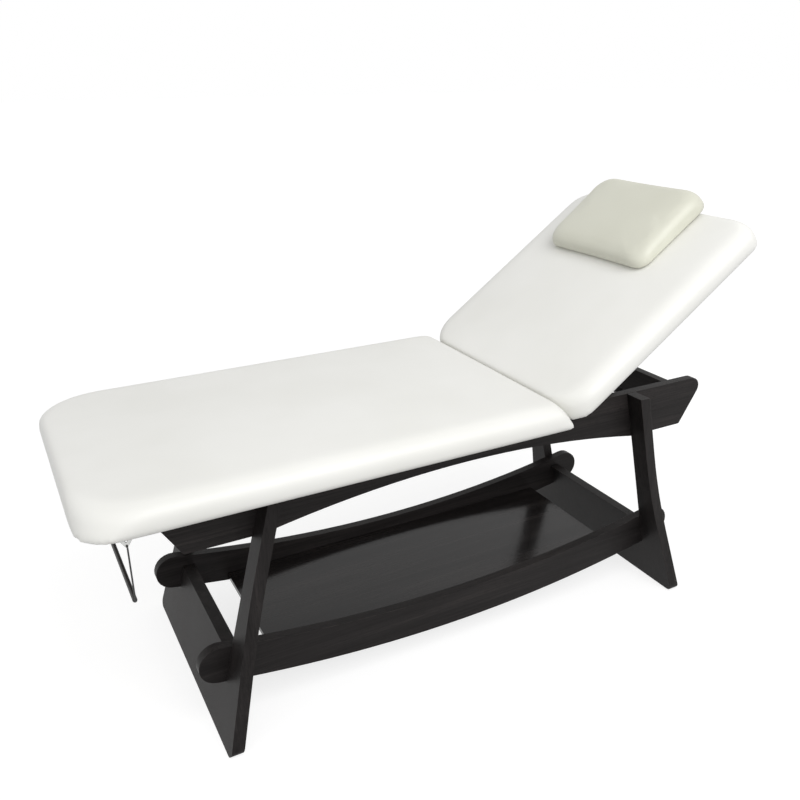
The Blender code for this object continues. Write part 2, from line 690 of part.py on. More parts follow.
def cushion_rings(low_x, high_x, width, base_z, form, low_end, high_end):
    """Rings of a cushion from its bottom edge up to its crown.

    form is (edge thickness, crown, top radius, bottom radius, draw-in). Each end is
    (corner radius at the foot, growth of that radius for each metre of height, bevel angle in
    radians, share of the edge radii used at that end).
    """
    thickness, crown, top_radius, bottom_radius, draw_in = form

    def ring(inset, height):
        insets = []
        radii = []
        for corner_radius, growth, bevel, share in (low_end, high_end):
            insets.append(inset * share + height * math.tan(bevel))
            inner_radius = max(corner_radius - inset, INNER_CORNER_SHARE * inset)
            radii.append(inner_radius + growth * height)
        low = low_x + insets[0]
        high = high_x - insets[1]
        half_width = width / 2 - inset
        largest = LARGEST_CORNER_SHARE * min(half_width, (high - low) / 2)
        low_radius, high_radius = (min(radius, largest) for radius in radii)
        return rounded_ring(
            low, high, half_width, low_radius, high_radius, draw_in, base_z + height
        )

    rings = []
    for step in range(BOTTOM_ARC_STEPS + 1):
        turn = math.pi / 2 * step / BOTTOM_ARC_STEPS
        inset = bottom_radius * (1 - math.sin(turn))
        rings.append(ring(inset, bottom_radius * (1 - math.cos(turn))))
    for step in range(TOP_ARC_STEPS + 1):
        turn = math.pi / 2 * step / TOP_ARC_STEPS
        inset = top_radius * (1 - math.cos(turn))
        rings.append(ring(inset, thickness - top_radius * (1 - math.sin(turn))))
    half = min(width, high_x - low_x) / 2
    for share in CROWN_RING_SHARES:
        rise = 1 - (1 - share / CROWN_RING_SHARES[-1]) ** 2
        rings.append(ring(share * half, thickness + crown * rise))
    return rings


PAD_FORM = (
    PAD_EDGE_THICKNESS,
    PAD_CROWN,
    PAD_TOP_EDGE_RADIUS,
    PAD_BOTTOM_EDGE_RADIUS,
    PAD_DRAW_IN,
)


def board_ring(low_x, high_x, low_radius, high_radius, grow, z):
    """A level ring round a pad's board, grown outward by an amount."""
    half_width = PAD_WIDTH / 2 - BOARD_MARGIN + grow
    return rounded_ring(
        low_x - grow, high_x + grow, half_width, low_radius, high_radius, 0.0, z
    )


def pad_and_board(prefix, parent, low_x, high_x, base_z, low_end, high_end, margins, radii):
    """A pad with a pocket in its underside, and the board that fills the pocket.

    The board's margins and corner radii are given for the low and then the high end.
    """
    board_low = low_x + margins[0]
    board_high = high_x - margins[1]
    pocket = [
        board_ring(board_low, board_high, *radii, CLEARANCE, z)
        for z in (base_z + BOARD_THICKNESS + CLEARANCE, base_z)
    ]
    rings = pocket + cushion_rings(
        low_x, high_x, PAD_WIDTH, base_z, PAD_FORM, low_end, high_end
    )
    piece(prefix + "_pad", mesh_of(prefix + "_pad", [rings]), "vinyl", parent)
    board_rings = [
        board_ring(board_low, board_high, *radii, 0.0, z)
        for z in (base_z, base_z + BOARD_THICKNESS)
    ]
    return piece(prefix + "_board", mesh_of(prefix + "_board", [board_rings]), "plywood", parent)


SEAT_FOOT_END = (
    SEAT_PAD_CORNER_RADIUS, SEAT_PAD_CORNER_GROWTH, 0.0, PAD_END_INSET_SHARE
)
SEAT_HINGE_END = (
    SEAT_HINGE_CORNER_RADIUS,
    SEAT_HINGE_CORNER_GROWTH,
    math.radians(SEAT_PAD_END_BEVEL_DEG),
    HINGE_END_INSET_SHARE,
)
BACK_HINGE_END = (
    BACK_HINGE_CORNER_RADIUS,
    BACK_HINGE_CORNER_GROWTH,
    math.radians(BACK_PAD_END_BEVEL_DEG),
    HINGE_END_INSET_SHARE,
)
BACK_HEAD_END = (
    BACK_PAD_CORNER_RADIUS, BACK_PAD_CORNER_GROWTH, 0.0, PAD_END_INSET_SHARE
)


def back_rings():
    """Rings of the back pad's outer surface in the backrest's own frame."""
    return cushion_rings(
        BACK_PAD_START, BACK_PAD_END, PAD_WIDTH, BACK_UNDERSIDE, PAD_FORM,
        BACK_HINGE_END, BACK_HEAD_END,
    )


def bed_shift():
    """How far the bed moves along X so that its overall length is centred on the origin."""
    reach = max(
        x * math.cos(BACK_ANGLE) - z * math.sin(BACK_ANGLE)
        for ring in back_rings() for x, _, z in ring
    )
    return -(SEAT_PAD_FOOT_X + HINGE_X + reach) / 2


def seat(base):
    """The fixed seat pad and its board, screwed down through two crossbars."""
    board = pad_and_board(
        "seat", base, SEAT_PAD_FOOT_X, SEAT_PAD_HEAD_X, PAD_UNDERSIDE_Z,
        SEAT_FOOT_END, SEAT_HINGE_END, (BOARD_MARGIN, BOARD_HINGE_MARGIN),
        (BOARD_CORNER_RADIUS, BOARD_HINGE_CORNER_RADIUS),
    )
    holes = []
    reach = SEAT_SCREW_SEAT_DEPTH + CLEARANCE + SEAT_SCREW_BITE
    for name, low_x, high_x in crossbar_ranges():
        if name == "head_crossbar":
            continue
        x = (low_x + high_x) / 2
        for side_name, side in SIDES:
            y = side * SEAT_SCREW_Y
            top_z = PAD_UNDERSIDE_Z + SEAT_SCREW_BITE + CLEARANCE
            low_z = PAD_UNDERSIDE_Z - CUTTER_OVERRUN
            holes.append(bore_z(x, y, SCREW_RADIUS + CLEARANCE, low_z, top_z))
            place = (x, y, RAIL_TOP_Z - SEAT_SCREW_SEAT_DEPTH - CLEARANCE)
            label = "seat_screw_" + name.split("_")[0] + "_" + side_name
            piece(label, fastener_mesh(SCREW, reach), "steel", base, place)
    cut(board, holes)


def backrest(hinge):
    """The lifting back pad and its board, in the hinge's frame."""
    pad_and_board(
        "back", hinge, BACK_PAD_START, BACK_PAD_END, BACK_UNDERSIDE,
        BACK_HINGE_END, BACK_HEAD_END, (BOARD_HINGE_MARGIN, BOARD_MARGIN),
        (BOARD_HINGE_CORNER_RADIUS, BOARD_CORNER_RADIUS),
    )


def leaf_outline(sign):
    """Side view of a hinge leaf: a strip whose end is rolled round the pin."""
    end = math.radians(LEAF_ROLL_END_DEG)
    steps = round((90.0 - LEAF_ROLL_END_DEG) / FILLET_STEP_DEG)
    outer = arc(0.0, 0.0, KNUCKLE_OUTER, math.pi / 2, end, steps)
    inner = arc(0.0, 0.0, KNUCKLE_INNER, end, math.pi / 2, steps)
    outline = [(-LEAF_DEPTH, KNUCKLE_OUTER)] + outer + inner + [(-LEAF_DEPTH, KNUCKLE_INNER)]
    return [(-sign * x, z) for x, z in outline]


def hinges(base, hinge):
    """Two hinges: a seat leaf with two knuckles, a back leaf with one, and a pin."""
    half = LEAF_LENGTH / 2
    # The back leaf's one knuckle takes the middle third
    knuckle = half / 3
    for name, side in SIDES:
        y = side * HINGE_Y
        for kind, parent, sign in (("seat", base, -1), ("back", hinge, 1)):
            label = kind + "_hinge_leaf_" + name
            rings = extruded_y(leaf_outline(sign), y - half, y + half)
            place = (HINGE_X, 0.0, HINGE_Z) if kind == "seat" else (0.0, 0.0, 0.0)
            leaf = piece(label, mesh_of(label, [rings]), "steel", parent, place)
            reach = KNUCKLE_OUTER + CLEARANCE
            near = sign * reach
            far = -sign * (reach + CUTTER_OVERRUN)
            low_x, high_x = min(near, far), max(near, far)
            if kind == "seat":
                spans = [(y - knuckle - CLEARANCE / 2, y + knuckle + CLEARANCE / 2)]
            else:
                spans = [
                    (y - half - CUTTER_OVERRUN, y - knuckle + CLEARANCE / 2),
                    (y + knuckle - CLEARANCE / 2, y + half + CUTTER_OVERRUN),
                ]
            cut(leaf, [box((low_x, a, -reach), (high_x, b, reach)) for a, b in spans])
        length = LEAF_LENGTH + 2 * HINGE_PIN_OVERHANG
        profile = [(HINGE_PIN_RADIUS, -length / 2), (HINGE_PIN_RADIUS, length / 2)]
        pin = mesh_of("hinge_pin", [turned(profile)])
        place = (HINGE_X, y, HINGE_Z)
        piece("hinge_pin_" + name, pin, "steel", base, place, (math.pi / 2, 0.0, 0.0))


def prop_opening(back_angle):
    """Angle at the hinge between the line to the prop's pivot and the racks' line."""
    return back_angle - PROP_OFFSET - PROP_TRACK


def foot_bar_distance(back_angle):
    """Distance from the hinge axis to the foot bar, along the racks' line."""
    return 2 * PROP_LENGTH * math.cos(prop_opening(back_angle))


def along_track(distance, below=0.0):
    """X and Z of a point on the racks' line, or this far below it."""
    x = HINGE_X + distance * math.cos(PROP_TRACK) + below * math.sin(PROP_TRACK)
    z = HINGE_Z + distance * math.sin(PROP_TRACK) - below * math.cos(PROP_TRACK)
    return x, z


def prop(hinge, prop_pivot):
    """The prop: blocks under the back board, a rod, two arms and a foot bar."""
    block_low = PROP_BLOCK_OUTER_Y - PROP_BLOCK_WIDTH
    arm_high = block_low - PROP_ARM_GAP
    arm_low = arm_high - PROP_ARM_THICKNESS
    top = BACK_UNDERSIDE - CLEARANCE
    nose = -PROP_PIVOT_DROP - PROP_BLOCK_NOSE_RADIUS
    x = PROP_PIVOT_ALONG
    long = PROP_BLOCK_HALF_LENGTH
    short = PROP_BLOCK_NOSE_RADIUS
    block = filleted([
        (x - long, top, 0.0),
        (x - long, -PROP_PIVOT_DROP / 2, 0.0),
        (x - short, nose, short / 2),
        (x + short, nose, short / 2),
        (x + long, -PROP_PIVOT_DROP / 2, 0.0),
        (x + long, top, 0.0),
    ])
    half = PROP_ARM_HALF_WIDTH
    round_steps = round(180.0 / FILLET_STEP_DEG)
    quarter = math.pi / 2
    arm = arc(0.0, 0.0, half, quarter, 3 * quarter, round_steps)
    arm += arc(PROP_LENGTH, 0.0, half, -quarter, quarter, round_steps)
    for name, side in SIDES:
        low, high = outward(side, block_low, PROP_BLOCK_OUTER_Y)
        label = "prop_block_" + name
        made = piece(label, mesh_of(label, [extruded_y(block, low, high)]), "wenge", hinge)
        past = (low - CUTTER_OVERRUN, high + CUTTER_OVERRUN)
        cut(made, [bore_y(x, -PROP_PIVOT_DROP, PROP_ROD_RADIUS + CLEARANCE, *past)])
        low, high = outward(side, arm_low, arm_high)
        label = "prop_arm_" + name
        made = piece(label, mesh_of(label, [extruded_y(arm, low, high)]), "black_metal", prop_pivot)
        past = (low - CUTTER_OVERRUN, high + CUTTER_OVERRUN)
        cut(made, [
            bore_y(0.0, 0.0, PROP_ROD_RADIUS + CLEARANCE, *past),
            bore_y(PROP_LENGTH, 0.0, PROP_BAR_RADIUS + CLEARANCE, *past),
        ])
    rod_half = PROP_BLOCK_OUTER_Y + PROP_ROD_OVERHANG
    for label, radius, reach, place_x in (
        ("prop_pivot_rod", PROP_ROD_RADIUS, rod_half, 0.0),
        ("prop_foot_bar", PROP_BAR_RADIUS, PROP_BAR_HALF_LENGTH, PROP_LENGTH),
    ):
        mesh = mesh_of(label, [turned([(radius, -reach), (radius, reach)])])
        turn = (math.pi / 2, 0.0, 0.0)
        piece(label, mesh, "black_metal", prop_pivot, (place_x, 0.0, 0.0), turn)


def rack_outline():
    """Side view of a rack: its crests lie just under the foot bar's straight path."""
    below = PROP_BAR_RADIUS + CLEARANCE
    start = foot_bar_distance(math.radians(RACK_STEEPEST_DEG)) - RACK_END_MARGIN
    end = foot_bar_distance(0.0)
    outline = [along_track(end, below + RACK_HEIGHT), along_track(start, below + RACK_HEIGHT)]
    outline.append(along_track(start, below))
    for angle in RACK_NOTCH_ANGLES_DEG:
        middle = foot_bar_distance(math.radians(angle))
        for u, v in arc(0.0, 0.0, 1.0, math.pi, math.tau, 6):
            drop = below - RACK_NOTCH_DEPTH * v
            outline.append(along_track(middle + RACK_NOTCH_RADIUS * u, drop))
    outline.append(along_track(end, below))
    return outline


def racks(base):
    """The notched strips on the upper rails' inner faces."""
    high_y = RAIL_INNER_Y - CLEARANCE
    for name, side in SIDES:
        low, high = outward(side, high_y - RACK_WIDTH, high_y)
        label = "prop_rack_" + name
        piece(label, mesh_of(label, [extruded_y(rack_outline(), low, high)]), "wenge", base)


def pillow(hinge):
    """The head pillow that lies on the back pad."""
    rest_z = BACK_UNDERSIDE + PAD_EDGE_THICKNESS + PAD_CROWN + CLEARANCE
    form = (
        PILLOW_EDGE_THICKNESS,
        PILLOW_CROWN,
        PILLOW_EDGE_RADIUS,
        PILLOW_EDGE_RADIUS,
        PILLOW_DRAW_IN,
    )
    end = (PILLOW_CORNER_RADIUS, PILLOW_CORNER_GROWTH, 0.0, 1.0)
    high_x = PILLOW_LOW_EDGE + PILLOW_DEPTH
    rings = cushion_rings(PILLOW_LOW_EDGE, high_x, PILLOW_WIDTH, rest_z, form, end, end)
    place = (0.0, PILLOW_CENTRE_Y, 0.0)
    piece("pillow", mesh_of("pillow", [rings]), "pillow_vinyl", hinge, place)


def roll_bracket_outline():
    """Front view of a roll bracket: a strap bent into a V with an eye at its foot."""
    top = ROLL_PIVOT_DROP - CLEARANCE
    span = ROLL_BRACKET_HALF_SPAN
    strap = ROLL_BRACKET_STRAP
    eye = ROLL_BRACKET_EYE_RADIUS
    lean = math.atan2(span - eye, top)
    under = arc(0.0, 0.0, eye, math.pi + lean, math.tau - lean, 8)
    right = [(span, top - strap), (span + 2 * strap, top - strap), (span + 2 * strap, top)]
    inside = [(span - strap, top), (0.0, eye + strap / 2), (strap - span, top)]
    left = [(-x, z) for x, z in reversed(right)]
    return under + right + inside + left


def roll_wire_points(side):
    """Route of a wire arm: in through the bracket's eye, down, and in to the tube."""
    outer_y = ROLL_ARM_Y
    inner_y = outer_y - ROLL_WIRE_STUB
    bend = ROLL_WIRE_BEND
    quarter = math.pi / 2
    top = arc(outer_y - bend, -bend, bend, quarter, 0.0, 4)
    low_z = -ROLL_ARM_LENGTH
    bottom = arc(outer_y - bend, low_z + bend, bend, 0.0, -quarter, 4)
    flat = [(inner_y, 0.0)] + top + bottom
    flat.append((inner_y - ROLL_TUBE_GAP, low_z))
    return [(0.0, side * y, z) for y, z in flat]


def wire(name, points, radius, finish, parent):
    """A bent round wire along a route of points, with capped ends."""
    curve = bpy.data.curves.new(name, "CURVE")
    curve.dimensions = "3D"
    curve.bevel_depth = radius
    curve.bevel_resolution = WIRE_SIDES // 4
    curve.use_fill_caps = True
    spline = curve.splines.new("POLY")
    spline.points.add(len(points) - 1)
    for point, place in zip(spline.points, points):
        point.co = (*place, 1.0)
    made = bpy.data.objects.new(name, curve)
    bpy.context.collection.objects.link(made)
    made.parent = parent
    curve.materials.append(material(finish))
    return made


def roll_holder(roll_pivot, tube_pivot, base):
    """Brackets under the seat board, two wire arms and the bar for a paper roll."""
    for name, side in SIDES:
        middle = ROLL_ARM_Y - ROLL_WIRE_BEND - ROLL_BRACKET_THICKNESS / 2
        low, high = outward(
            side, middle - ROLL_BRACKET_THICKNESS / 2, middle + ROLL_BRACKET_THICKNESS / 2
        )
        label = "roll_bracket_" + name
        place = (ROLL_PIVOT_X, 0.0, ROLL_PIVOT_Z)
        rings = extruded_y(roll_bracket_outline(), low, high)
        bracket = piece(label, mesh_of(label, [rings]), "steel", base, place)
        past = (low - CUTTER_OVERRUN, high + CUTTER_OVERRUN)
        cut(bracket, [bore_y(0.0, 0.0, ROLL_WIRE_RADIUS + CLEARANCE, *past)])
        wire(
            "roll_arm_" + name, roll_wire_points(side), ROLL_WIRE_RADIUS, "black_metal", roll_pivot
        )
    half = ROLL_ARM_Y - ROLL_WIRE_RADIUS - ROLL_TUBE_GAP
    bore = ROLL_WIRE_RADIUS + CLEARANCE
    nose = ROLL_TUBE_NOSE
    profile = [
        (bore, ROLL_TUBE_BORE_DEPTH - half),
        (bore, -half),
        (ROLL_TUBE_RADIUS - nose, -half),
        (ROLL_TUBE_RADIUS, nose - half),
    ]
    profile += [(radius, -z) for radius, z in reversed(profile)]
    tube = mesh_of("roll_tube", [turned(profile)])
    turn = (math.pi / 2, 0.0, 0.0)
    piece("roll_tube", tube, "black_metal", tube_pivot, (0.0, 0.0, 0.0), turn)


def main():
    """Build every piece of the bed."""
    remove_everything()
    base = pivot("bed_frame", None, (bed_shift(), 0.0, 0.0))
    end_frames(base)
    upper_rails(base)
    lower_rails(base)
    crossbars(base)
    shelf_and_cleats(base)
    frame_bolts(base)
    racks(base)
    seat(base)
    hinge = pivot("backrest_hinge", base, (HINGE_X, 0.0, HINGE_Z), BACK_ANGLE)
    backrest(hinge)
    hinges(base, hinge)
    prop_angle = -2 * prop_opening(BACK_ANGLE) - PROP_OFFSET
    place = (PROP_PIVOT_ALONG, 0.0, -PROP_PIVOT_DROP)
    prop_pivot = pivot("prop_pivot", hinge, place, prop_angle)
    prop(hinge, prop_pivot)
    pillow(hinge)
    roll_pivot = pivot("roll_pivot", base, (ROLL_PIVOT_X, 0.0, ROLL_PIVOT_Z))
    tube_pivot = pivot("roll_tube_pivot", roll_pivot, (0.0, 0.0, -ROLL_ARM_LENGTH))
    roll_holder(roll_pivot, tube_pivot, base)


main()
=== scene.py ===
import math

import bmesh
import bpy
import numpy as np
from mathutils import Matrix, Vector


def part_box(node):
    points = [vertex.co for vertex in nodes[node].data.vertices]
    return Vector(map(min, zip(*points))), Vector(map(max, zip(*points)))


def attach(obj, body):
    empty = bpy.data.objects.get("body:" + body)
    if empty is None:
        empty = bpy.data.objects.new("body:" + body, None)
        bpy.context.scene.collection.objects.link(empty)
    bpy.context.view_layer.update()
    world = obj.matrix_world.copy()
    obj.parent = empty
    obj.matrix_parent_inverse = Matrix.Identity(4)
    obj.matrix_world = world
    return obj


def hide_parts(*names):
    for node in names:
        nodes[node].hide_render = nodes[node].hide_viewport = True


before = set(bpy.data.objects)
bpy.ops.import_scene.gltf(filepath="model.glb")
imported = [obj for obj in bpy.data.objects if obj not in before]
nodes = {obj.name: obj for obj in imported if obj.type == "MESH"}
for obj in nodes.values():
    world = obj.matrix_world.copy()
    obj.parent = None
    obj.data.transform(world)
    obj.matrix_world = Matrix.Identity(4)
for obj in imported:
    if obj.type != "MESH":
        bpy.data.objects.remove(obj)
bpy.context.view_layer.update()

bpy.context.scene.view_settings.view_transform = "Standard"


# Camera. It stands beyond the foot end on the left side, a little above the pads, and looks
# down along the bed. Its place and lens come from the straight edges of the woodwork.

CAMERA_AT = Vector((-0.94561, -1.7486, 1.4578))
CAMERA_LENS = 36.685
SENSOR_WIDTH = 36.0
yaw, pitch, roll = 0.4903, -0.3897, -0.0039
ahead = Vector((math.sin(yaw) * math.cos(pitch), math.cos(yaw) * math.cos(pitch), math.sin(pitch)))
level_right = ahead.cross(Vector((0.0, 0.0, 1.0))).normalized()
level_up = level_right.cross(ahead)
camera_right = level_right * math.cos(roll) + level_up * math.sin(roll)
camera_up = level_up * math.cos(roll) - level_right * math.sin(roll)
camera_data = bpy.data.cameras.new("camera")
camera_data.lens = CAMERA_LENS
camera_data.sensor_width = SENSOR_WIDTH
camera = bpy.data.objects.new("camera", camera_data)
camera.matrix_world = Matrix((
    (camera_right.x, camera_up.x, -ahead.x, CAMERA_AT.x),
    (camera_right.y, camera_up.y, -ahead.y, CAMERA_AT.y),
    (camera_right.z, camera_up.z, -ahead.z, CAMERA_AT.z),
    (0.0, 0.0, 0.0, 1.0),
))
bpy.context.collection.objects.link(camera)
bpy.context.scene.camera = camera


# End frames. Each is one U-shaped plate of 30 mm hardwood board, sawn to shape, sanded along
# its edges, stained dark and sprayed with a satin lacquer. The grain runs up the posts.

WOOD_DARK = (0.0068, 0.0058, 0.0057, 1.0)
WOOD_MIDDLE = (0.0170, 0.0150, 0.0148, 1.0)
WOOD_LIGHT = (0.0340, 0.0296, 0.0286, 1.0)
# Pale edge colour: worn stain, and partly a painted highlight for the glare along the edges
WOOD_WORN_AND_HIGHLIT = (0.095, 0.086, 0.081, 1.0)
STAIN_STRETCH = (1.6, 24.0, 24.0)
RING_STRETCH = (4.0, 260.0, 260.0)
PORE_STRETCH = (45.0, 1500.0, 1500.0)
RING_SHARE = 0.45


def plug(tree, source, socket):
    """Gives an input its source: a link from another socket, or a plain value."""
    if isinstance(source, bpy.types.NodeSocket):
        tree.links.new(source, socket)
    else:
        socket.default_value = source


def add_node(tree, kind, inputs=(), **settings):
    """A node with some of its settings, and sources for some of its inputs."""
    node = tree.nodes.new(kind)
    for name, value in settings.items():
        setattr(node, name, value)
    for name, source in dict(inputs).items():
        plug(tree, source, node.inputs[name])
    return node


def new_material(name):
    """An empty material with a Principled shader, returned with its tree and shader."""
    made = bpy.data.materials.new(name)
    made.use_nodes = True
    tree = made.node_tree
    return made, tree, tree.nodes["Principled BSDF"]


def fed(tree, kind, source, inputs=(), socket="Vector", result="Fac", **settings):
    """A node with one input linked to a source. It gives the socket of its result."""
    node = add_node(tree, kind, inputs, **settings)
    tree.links.new(source, node.inputs[socket])
    return node.outputs[result]


def object_place(tree):
    """Coordinates that stay with the object, in metres."""
    return add_node(tree, "ShaderNodeTexCoord").outputs["Object"]


def mapped(tree, place, **inputs):
    """Coordinates turned by the angles or stretched by the scales that are given."""
    return fed(tree, "ShaderNodeMapping", place, inputs, result="Vector")


def noise(tree, place, scale, detail, distortion=0.0):
    """Soft noise between 0 and 1."""
    inputs = {"Scale": scale, "Detail": detail, "Distortion": distortion}
    return fed(tree, "ShaderNodeTexNoise", place, inputs)


def ranged(tree, value, low, high, from_low=0.0, from_high=1.0):
    """A value moved from one range to another and kept inside it."""
    inputs = {"From Min": from_low, "From Max": from_high, "To Min": low, "To Max": high}
    return fed(tree, "ShaderNodeMapRange", value, inputs, "Value", "Result")


def mixed(tree, kind, share, first, second):
    """Two numbers (FLOAT) or colours (RGBA) mixed by the share of the second."""
    inputs = {"Factor": share, "A": first, "B": second}
    return add_node(tree, "ShaderNodeMix", inputs, data_type=kind).outputs["Result"]


def worked_out(tree, operation, *values):
    """The result of a Math node over sockets and plain numbers."""
    node = add_node(tree, "ShaderNodeMath", enumerate(values), operation=operation)
    return node.outputs["Value"]


def coloured(tree, value, stops):
    """The colour that a value has on a ramp with (position, colour) stops."""
    node = add_node(tree, "ShaderNodeValToRGB", {"Fac": value})
    ramp = node.color_ramp
    while len(ramp.elements) > 1:
        ramp.elements.remove(ramp.elements[-1])
    ramp.elements[0].position, ramp.elements[0].color = stops[0]
    for position, colour in stops[1:]:
        ramp.elements.new(position).color = colour
    return node.outputs["Color"]


def surface(tree, shader, colour, gloss, height, strength, depth):
    """Gives a Principled shader its colour and roughness, and a bump of some depth in metres."""
    inputs = {"Strength": strength, "Distance": depth}
    bump = fed(tree, "ShaderNodeBump", height, inputs, "Height", "Normal")
    for source, name in ((colour, "Base Color"), (gloss, "Roughness"), (bump, "Normal")):
        tree.links.new(source, shader.inputs[name])


def stained_wood(name, turn, roughness, mirror, sunk=0.35, streaks=1.0):
    """Dark stained wood whose grain runs along X after the pattern is turned by some angles."""
    made, tree, shader = new_material(name)
    place = object_place(tree)
    board = mapped(tree, place, Rotation=turn)
    # Slow drift of the stain along the board, and the fine lines of the growth rings
    figure = noise(tree, mapped(tree, board, Scale=STAIN_STRETCH), 1.0, 4.0, 0.5)
    lines = noise(tree, mapped(tree, board, Scale=RING_STRETCH), 1.0, 3.0)
    both = mixed(tree, "FLOAT", RING_SHARE * streaks, figure, lines)
    tone = coloured(tree, both, [(0.30, WOOD_DARK), (0.52, WOOD_MIDDLE), (0.74, WOOD_LIGHT)])
    # Open pores: short dark dashes that the lacquer doesn't fill
    pores = noise(tree, mapped(tree, board, Scale=PORE_STRETCH), 1.0, 1.0)
    pore_mask = ranged(tree, pores, 0.0, 1.0, 0.60, 0.70)
    tone = mixed(tree, "RGBA", pore_mask, tone, WOOD_DARK)
    # Edges are paler: partly wear where sanding and hands thin the stain, and partly a painted
    # highlight for the glare along the lacquered edges
    edge = add_node(tree, "ShaderNodeAttribute", attribute_name="eased_edge").outputs["Fac"]
    wear_and_highlight_patches = ranged(tree, noise(tree, place, 26.0, 3.0), 0.0, 0.75, 0.38, 0.75)
    worn_and_highlit = mixed(tree, "RGBA", worked_out(tree, "MULTIPLY", edge, wear_and_highlight_patches), tone, WOOD_WORN_AND_HIGHLIT)
    # Lacquer: a little uneven in gloss, and slightly sunk in the pores and lines
    gloss = ranged(tree, both, roughness * 0.75, roughness * 1.35)
    height = worked_out(tree, "MULTIPLY_ADD", pore_mask, -0.6, lines)
    surface(tree, shader, worn_and_highlit, gloss, height, sunk, 0.0004)
    shader.inputs["Specular IOR Level"].default_value = mirror
    return made


def merged_copy(node_name):
    """The CAD node's mesh as a bmesh, with its loose triangles merged into whole faces."""
    body = bmesh.new()
    body.from_mesh(nodes[node_name].data)
    bmesh.ops.remove_doubles(body, verts=body.verts, dist=0.00001)
    bmesh.ops.dissolve_limit(
        body, angle_limit=math.radians(0.6), verts=body.verts, edges=body.edges
    )
    return body


def mesh_of(name, body):
    """A new mesh from a bmesh, which isn't needed any more."""
    mesh = bpy.data.meshes.new(name)
    body.to_mesh(mesh)
    body.free()
    return mesh


def smoothed(mesh, sharp):
    """Shades a mesh smooth, apart from edges that are sharper than some degrees."""
    mesh.shade_smooth()
    mesh.set_sharp_from_angle(angle=math.radians(sharp))
    return mesh


def in_the_making(mesh):
    """A passing object that holds a mesh while modifiers shape it."""
    shaped = bpy.data.objects.new(mesh.name + "_shaping", mesh)
    bpy.context.collection.objects.link(shaped)
    return shaped


def evaluated_copy(shaped):
    """The mesh that an object's modifiers make, as a mesh of its own."""
    depsgraph = bpy.context.evaluated_depsgraph_get()
    return bpy.data.meshes.new_from_object(shaped.evaluated_get(depsgraph))


def finished_mesh(name, body):
    """A mesh from a bmesh, smooth over its small facets and flat on its large faces."""
    mesh = smoothed(mesh_of(name, body), 50.0)
    shaped = in_the_making(mesh)
    weighted = shaped.modifiers.new("weighted", "WEIGHTED_NORMAL")
    weighted.keep_sharp = True
    result = evaluated_copy(shaped)
    bpy.data.objects.remove(shaped)
    bpy.data.meshes.remove(mesh)
    result.name = name
    return result


def eased_edges(body, radius, sharp=math.radians(40.0)):
    """Rounds a board's sharp edges over and marks them in the attribute eased_edge."""
    mark = body.verts.layers.float.new("eased_edge")
    edges = [e for e in body.edges if len(e.link_faces) == 2 and e.calc_face_angle() > sharp]
    made = bmesh.ops.bevel(
        body, geom=edges, offset=radius, segments=2, profile=0.5, affect="EDGES",
        clamp_overlap=True,
    )
    rounded = set(made["faces"])
    for vert in body.verts:
        if vert.link_faces and all(face in rounded for face in vert.link_faces):
            vert[mark] = 1.0


def new_piece(name, mesh, material, body):
    """A finished piece of the bed: linked, given its material and tied to its CAD body."""
    made = bpy.data.objects.new(name, mesh)
    bpy.context.collection.objects.link(made)
    mesh.materials.clear()
    mesh.materials.append(material)
    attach(made, body)
    return made


def eased_part(node_name, radius, material, body="frame", suffix="_board"):
    """A piece that takes its CAD node's place, with the same shape but rounded edges."""
    shape = merged_copy(node_name)
    eased_edges(shape, radius)
    part = new_piece(node_name + suffix, finished_mesh(node_name, shape), material, body)
    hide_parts(node_name)


END_FRAME_EDGE = 0.0016
QUARTER = math.pi / 2
WOOD_ROUGHNESS = 0.42
WOOD_MIRROR = 0.10
upright_wood = stained_wood("wood_grain_up", (0.0, QUARTER, 0.0), WOOD_ROUGHNESS, WOOD_MIRROR)
for node_name in ("foot_end_frame", "head_end_frame"):
    eased_part(node_name, END_FRAME_EDGE, upright_wood)


# Rails. Upper rails carry the pads: 25 mm boards on edge, arched below, bolted inside the
# posts. Lower rails are bowed boards with round ends, dropped into slots of the end frames.

RAIL_EDGE = 0.0018
lengthwise_wood = stained_wood("wood_grain_along", (0.0, 0.0, 0.0), WOOD_ROUGHNESS, WOOD_MIRROR)
for node_name in ("upper_rail_left", "upper_rail_right", "lower_rail_left", "lower_rail_right"):
    eased_part(node_name, RAIL_EDGE, lengthwise_wood)


# Crossbars. Three 25 mm bars are housed in the upper rails' inner faces and keep them apart.
# The foot and middle ones have counterbored holes for the screws of the seat board.

CROSSBAR_EDGE = 0.0012
crosswise_wood = stained_wood(
    "wood_grain_across", (0.0, 0.0, QUARTER), WOOD_ROUGHNESS, WOOD_MIRROR
)
for node_name in ("foot_crossbar", "middle_crossbar", "head_crossbar"):
    eased_part(node_name, CROSSBAR_EDGE, crosswise_wood)


# Frame bolts. Two at each post clamp the upper rail to it from the rail's inner face: zinc
# plated steel, with a shallow domed head and a hexagon socket. Each stopped at its own angle.

ZINC_PALE = (0.640, 0.640, 0.625, 1.0)
ZINC_DULL = (0.470, 0.475, 0.470, 1.0)


def plated_steel(name):
    """Zinc on steel: metal with slow clouds in its colour, fine rubbing and handling marks."""
    made, tree, shader = new_material(name)
    place = object_place(tree)
    tone = coloured(tree, noise(tree, place, 140.0, 3.0), [(0.35, ZINC_DULL), (0.65, ZINC_PALE)])
    rubbing = noise(tree, place, 900.0, 2.0)
    surface(tree, shader, tone, ranged(tree, rubbing, 0.20, 0.42), rubbing, 0.15, 0.0001)
    shader.inputs["Metallic"].default_value = 1.0
    return made


def lofted(rings):
    """A closed solid through rings of equal length, capped at both ends, as a bmesh."""
    body = bmesh.new()
    loops = [[body.verts.new(point) for point in ring] for ring in rings]
    for near, far in zip(loops, loops[1:]):
        for index, start in enumerate(near):
            following = (index + 1) % len(near)
            body.faces.new((start, near[following], far[following], far[index]))
    body.faces.new(reversed(loops[0]))
    body.faces.new(loops[-1])
    return body


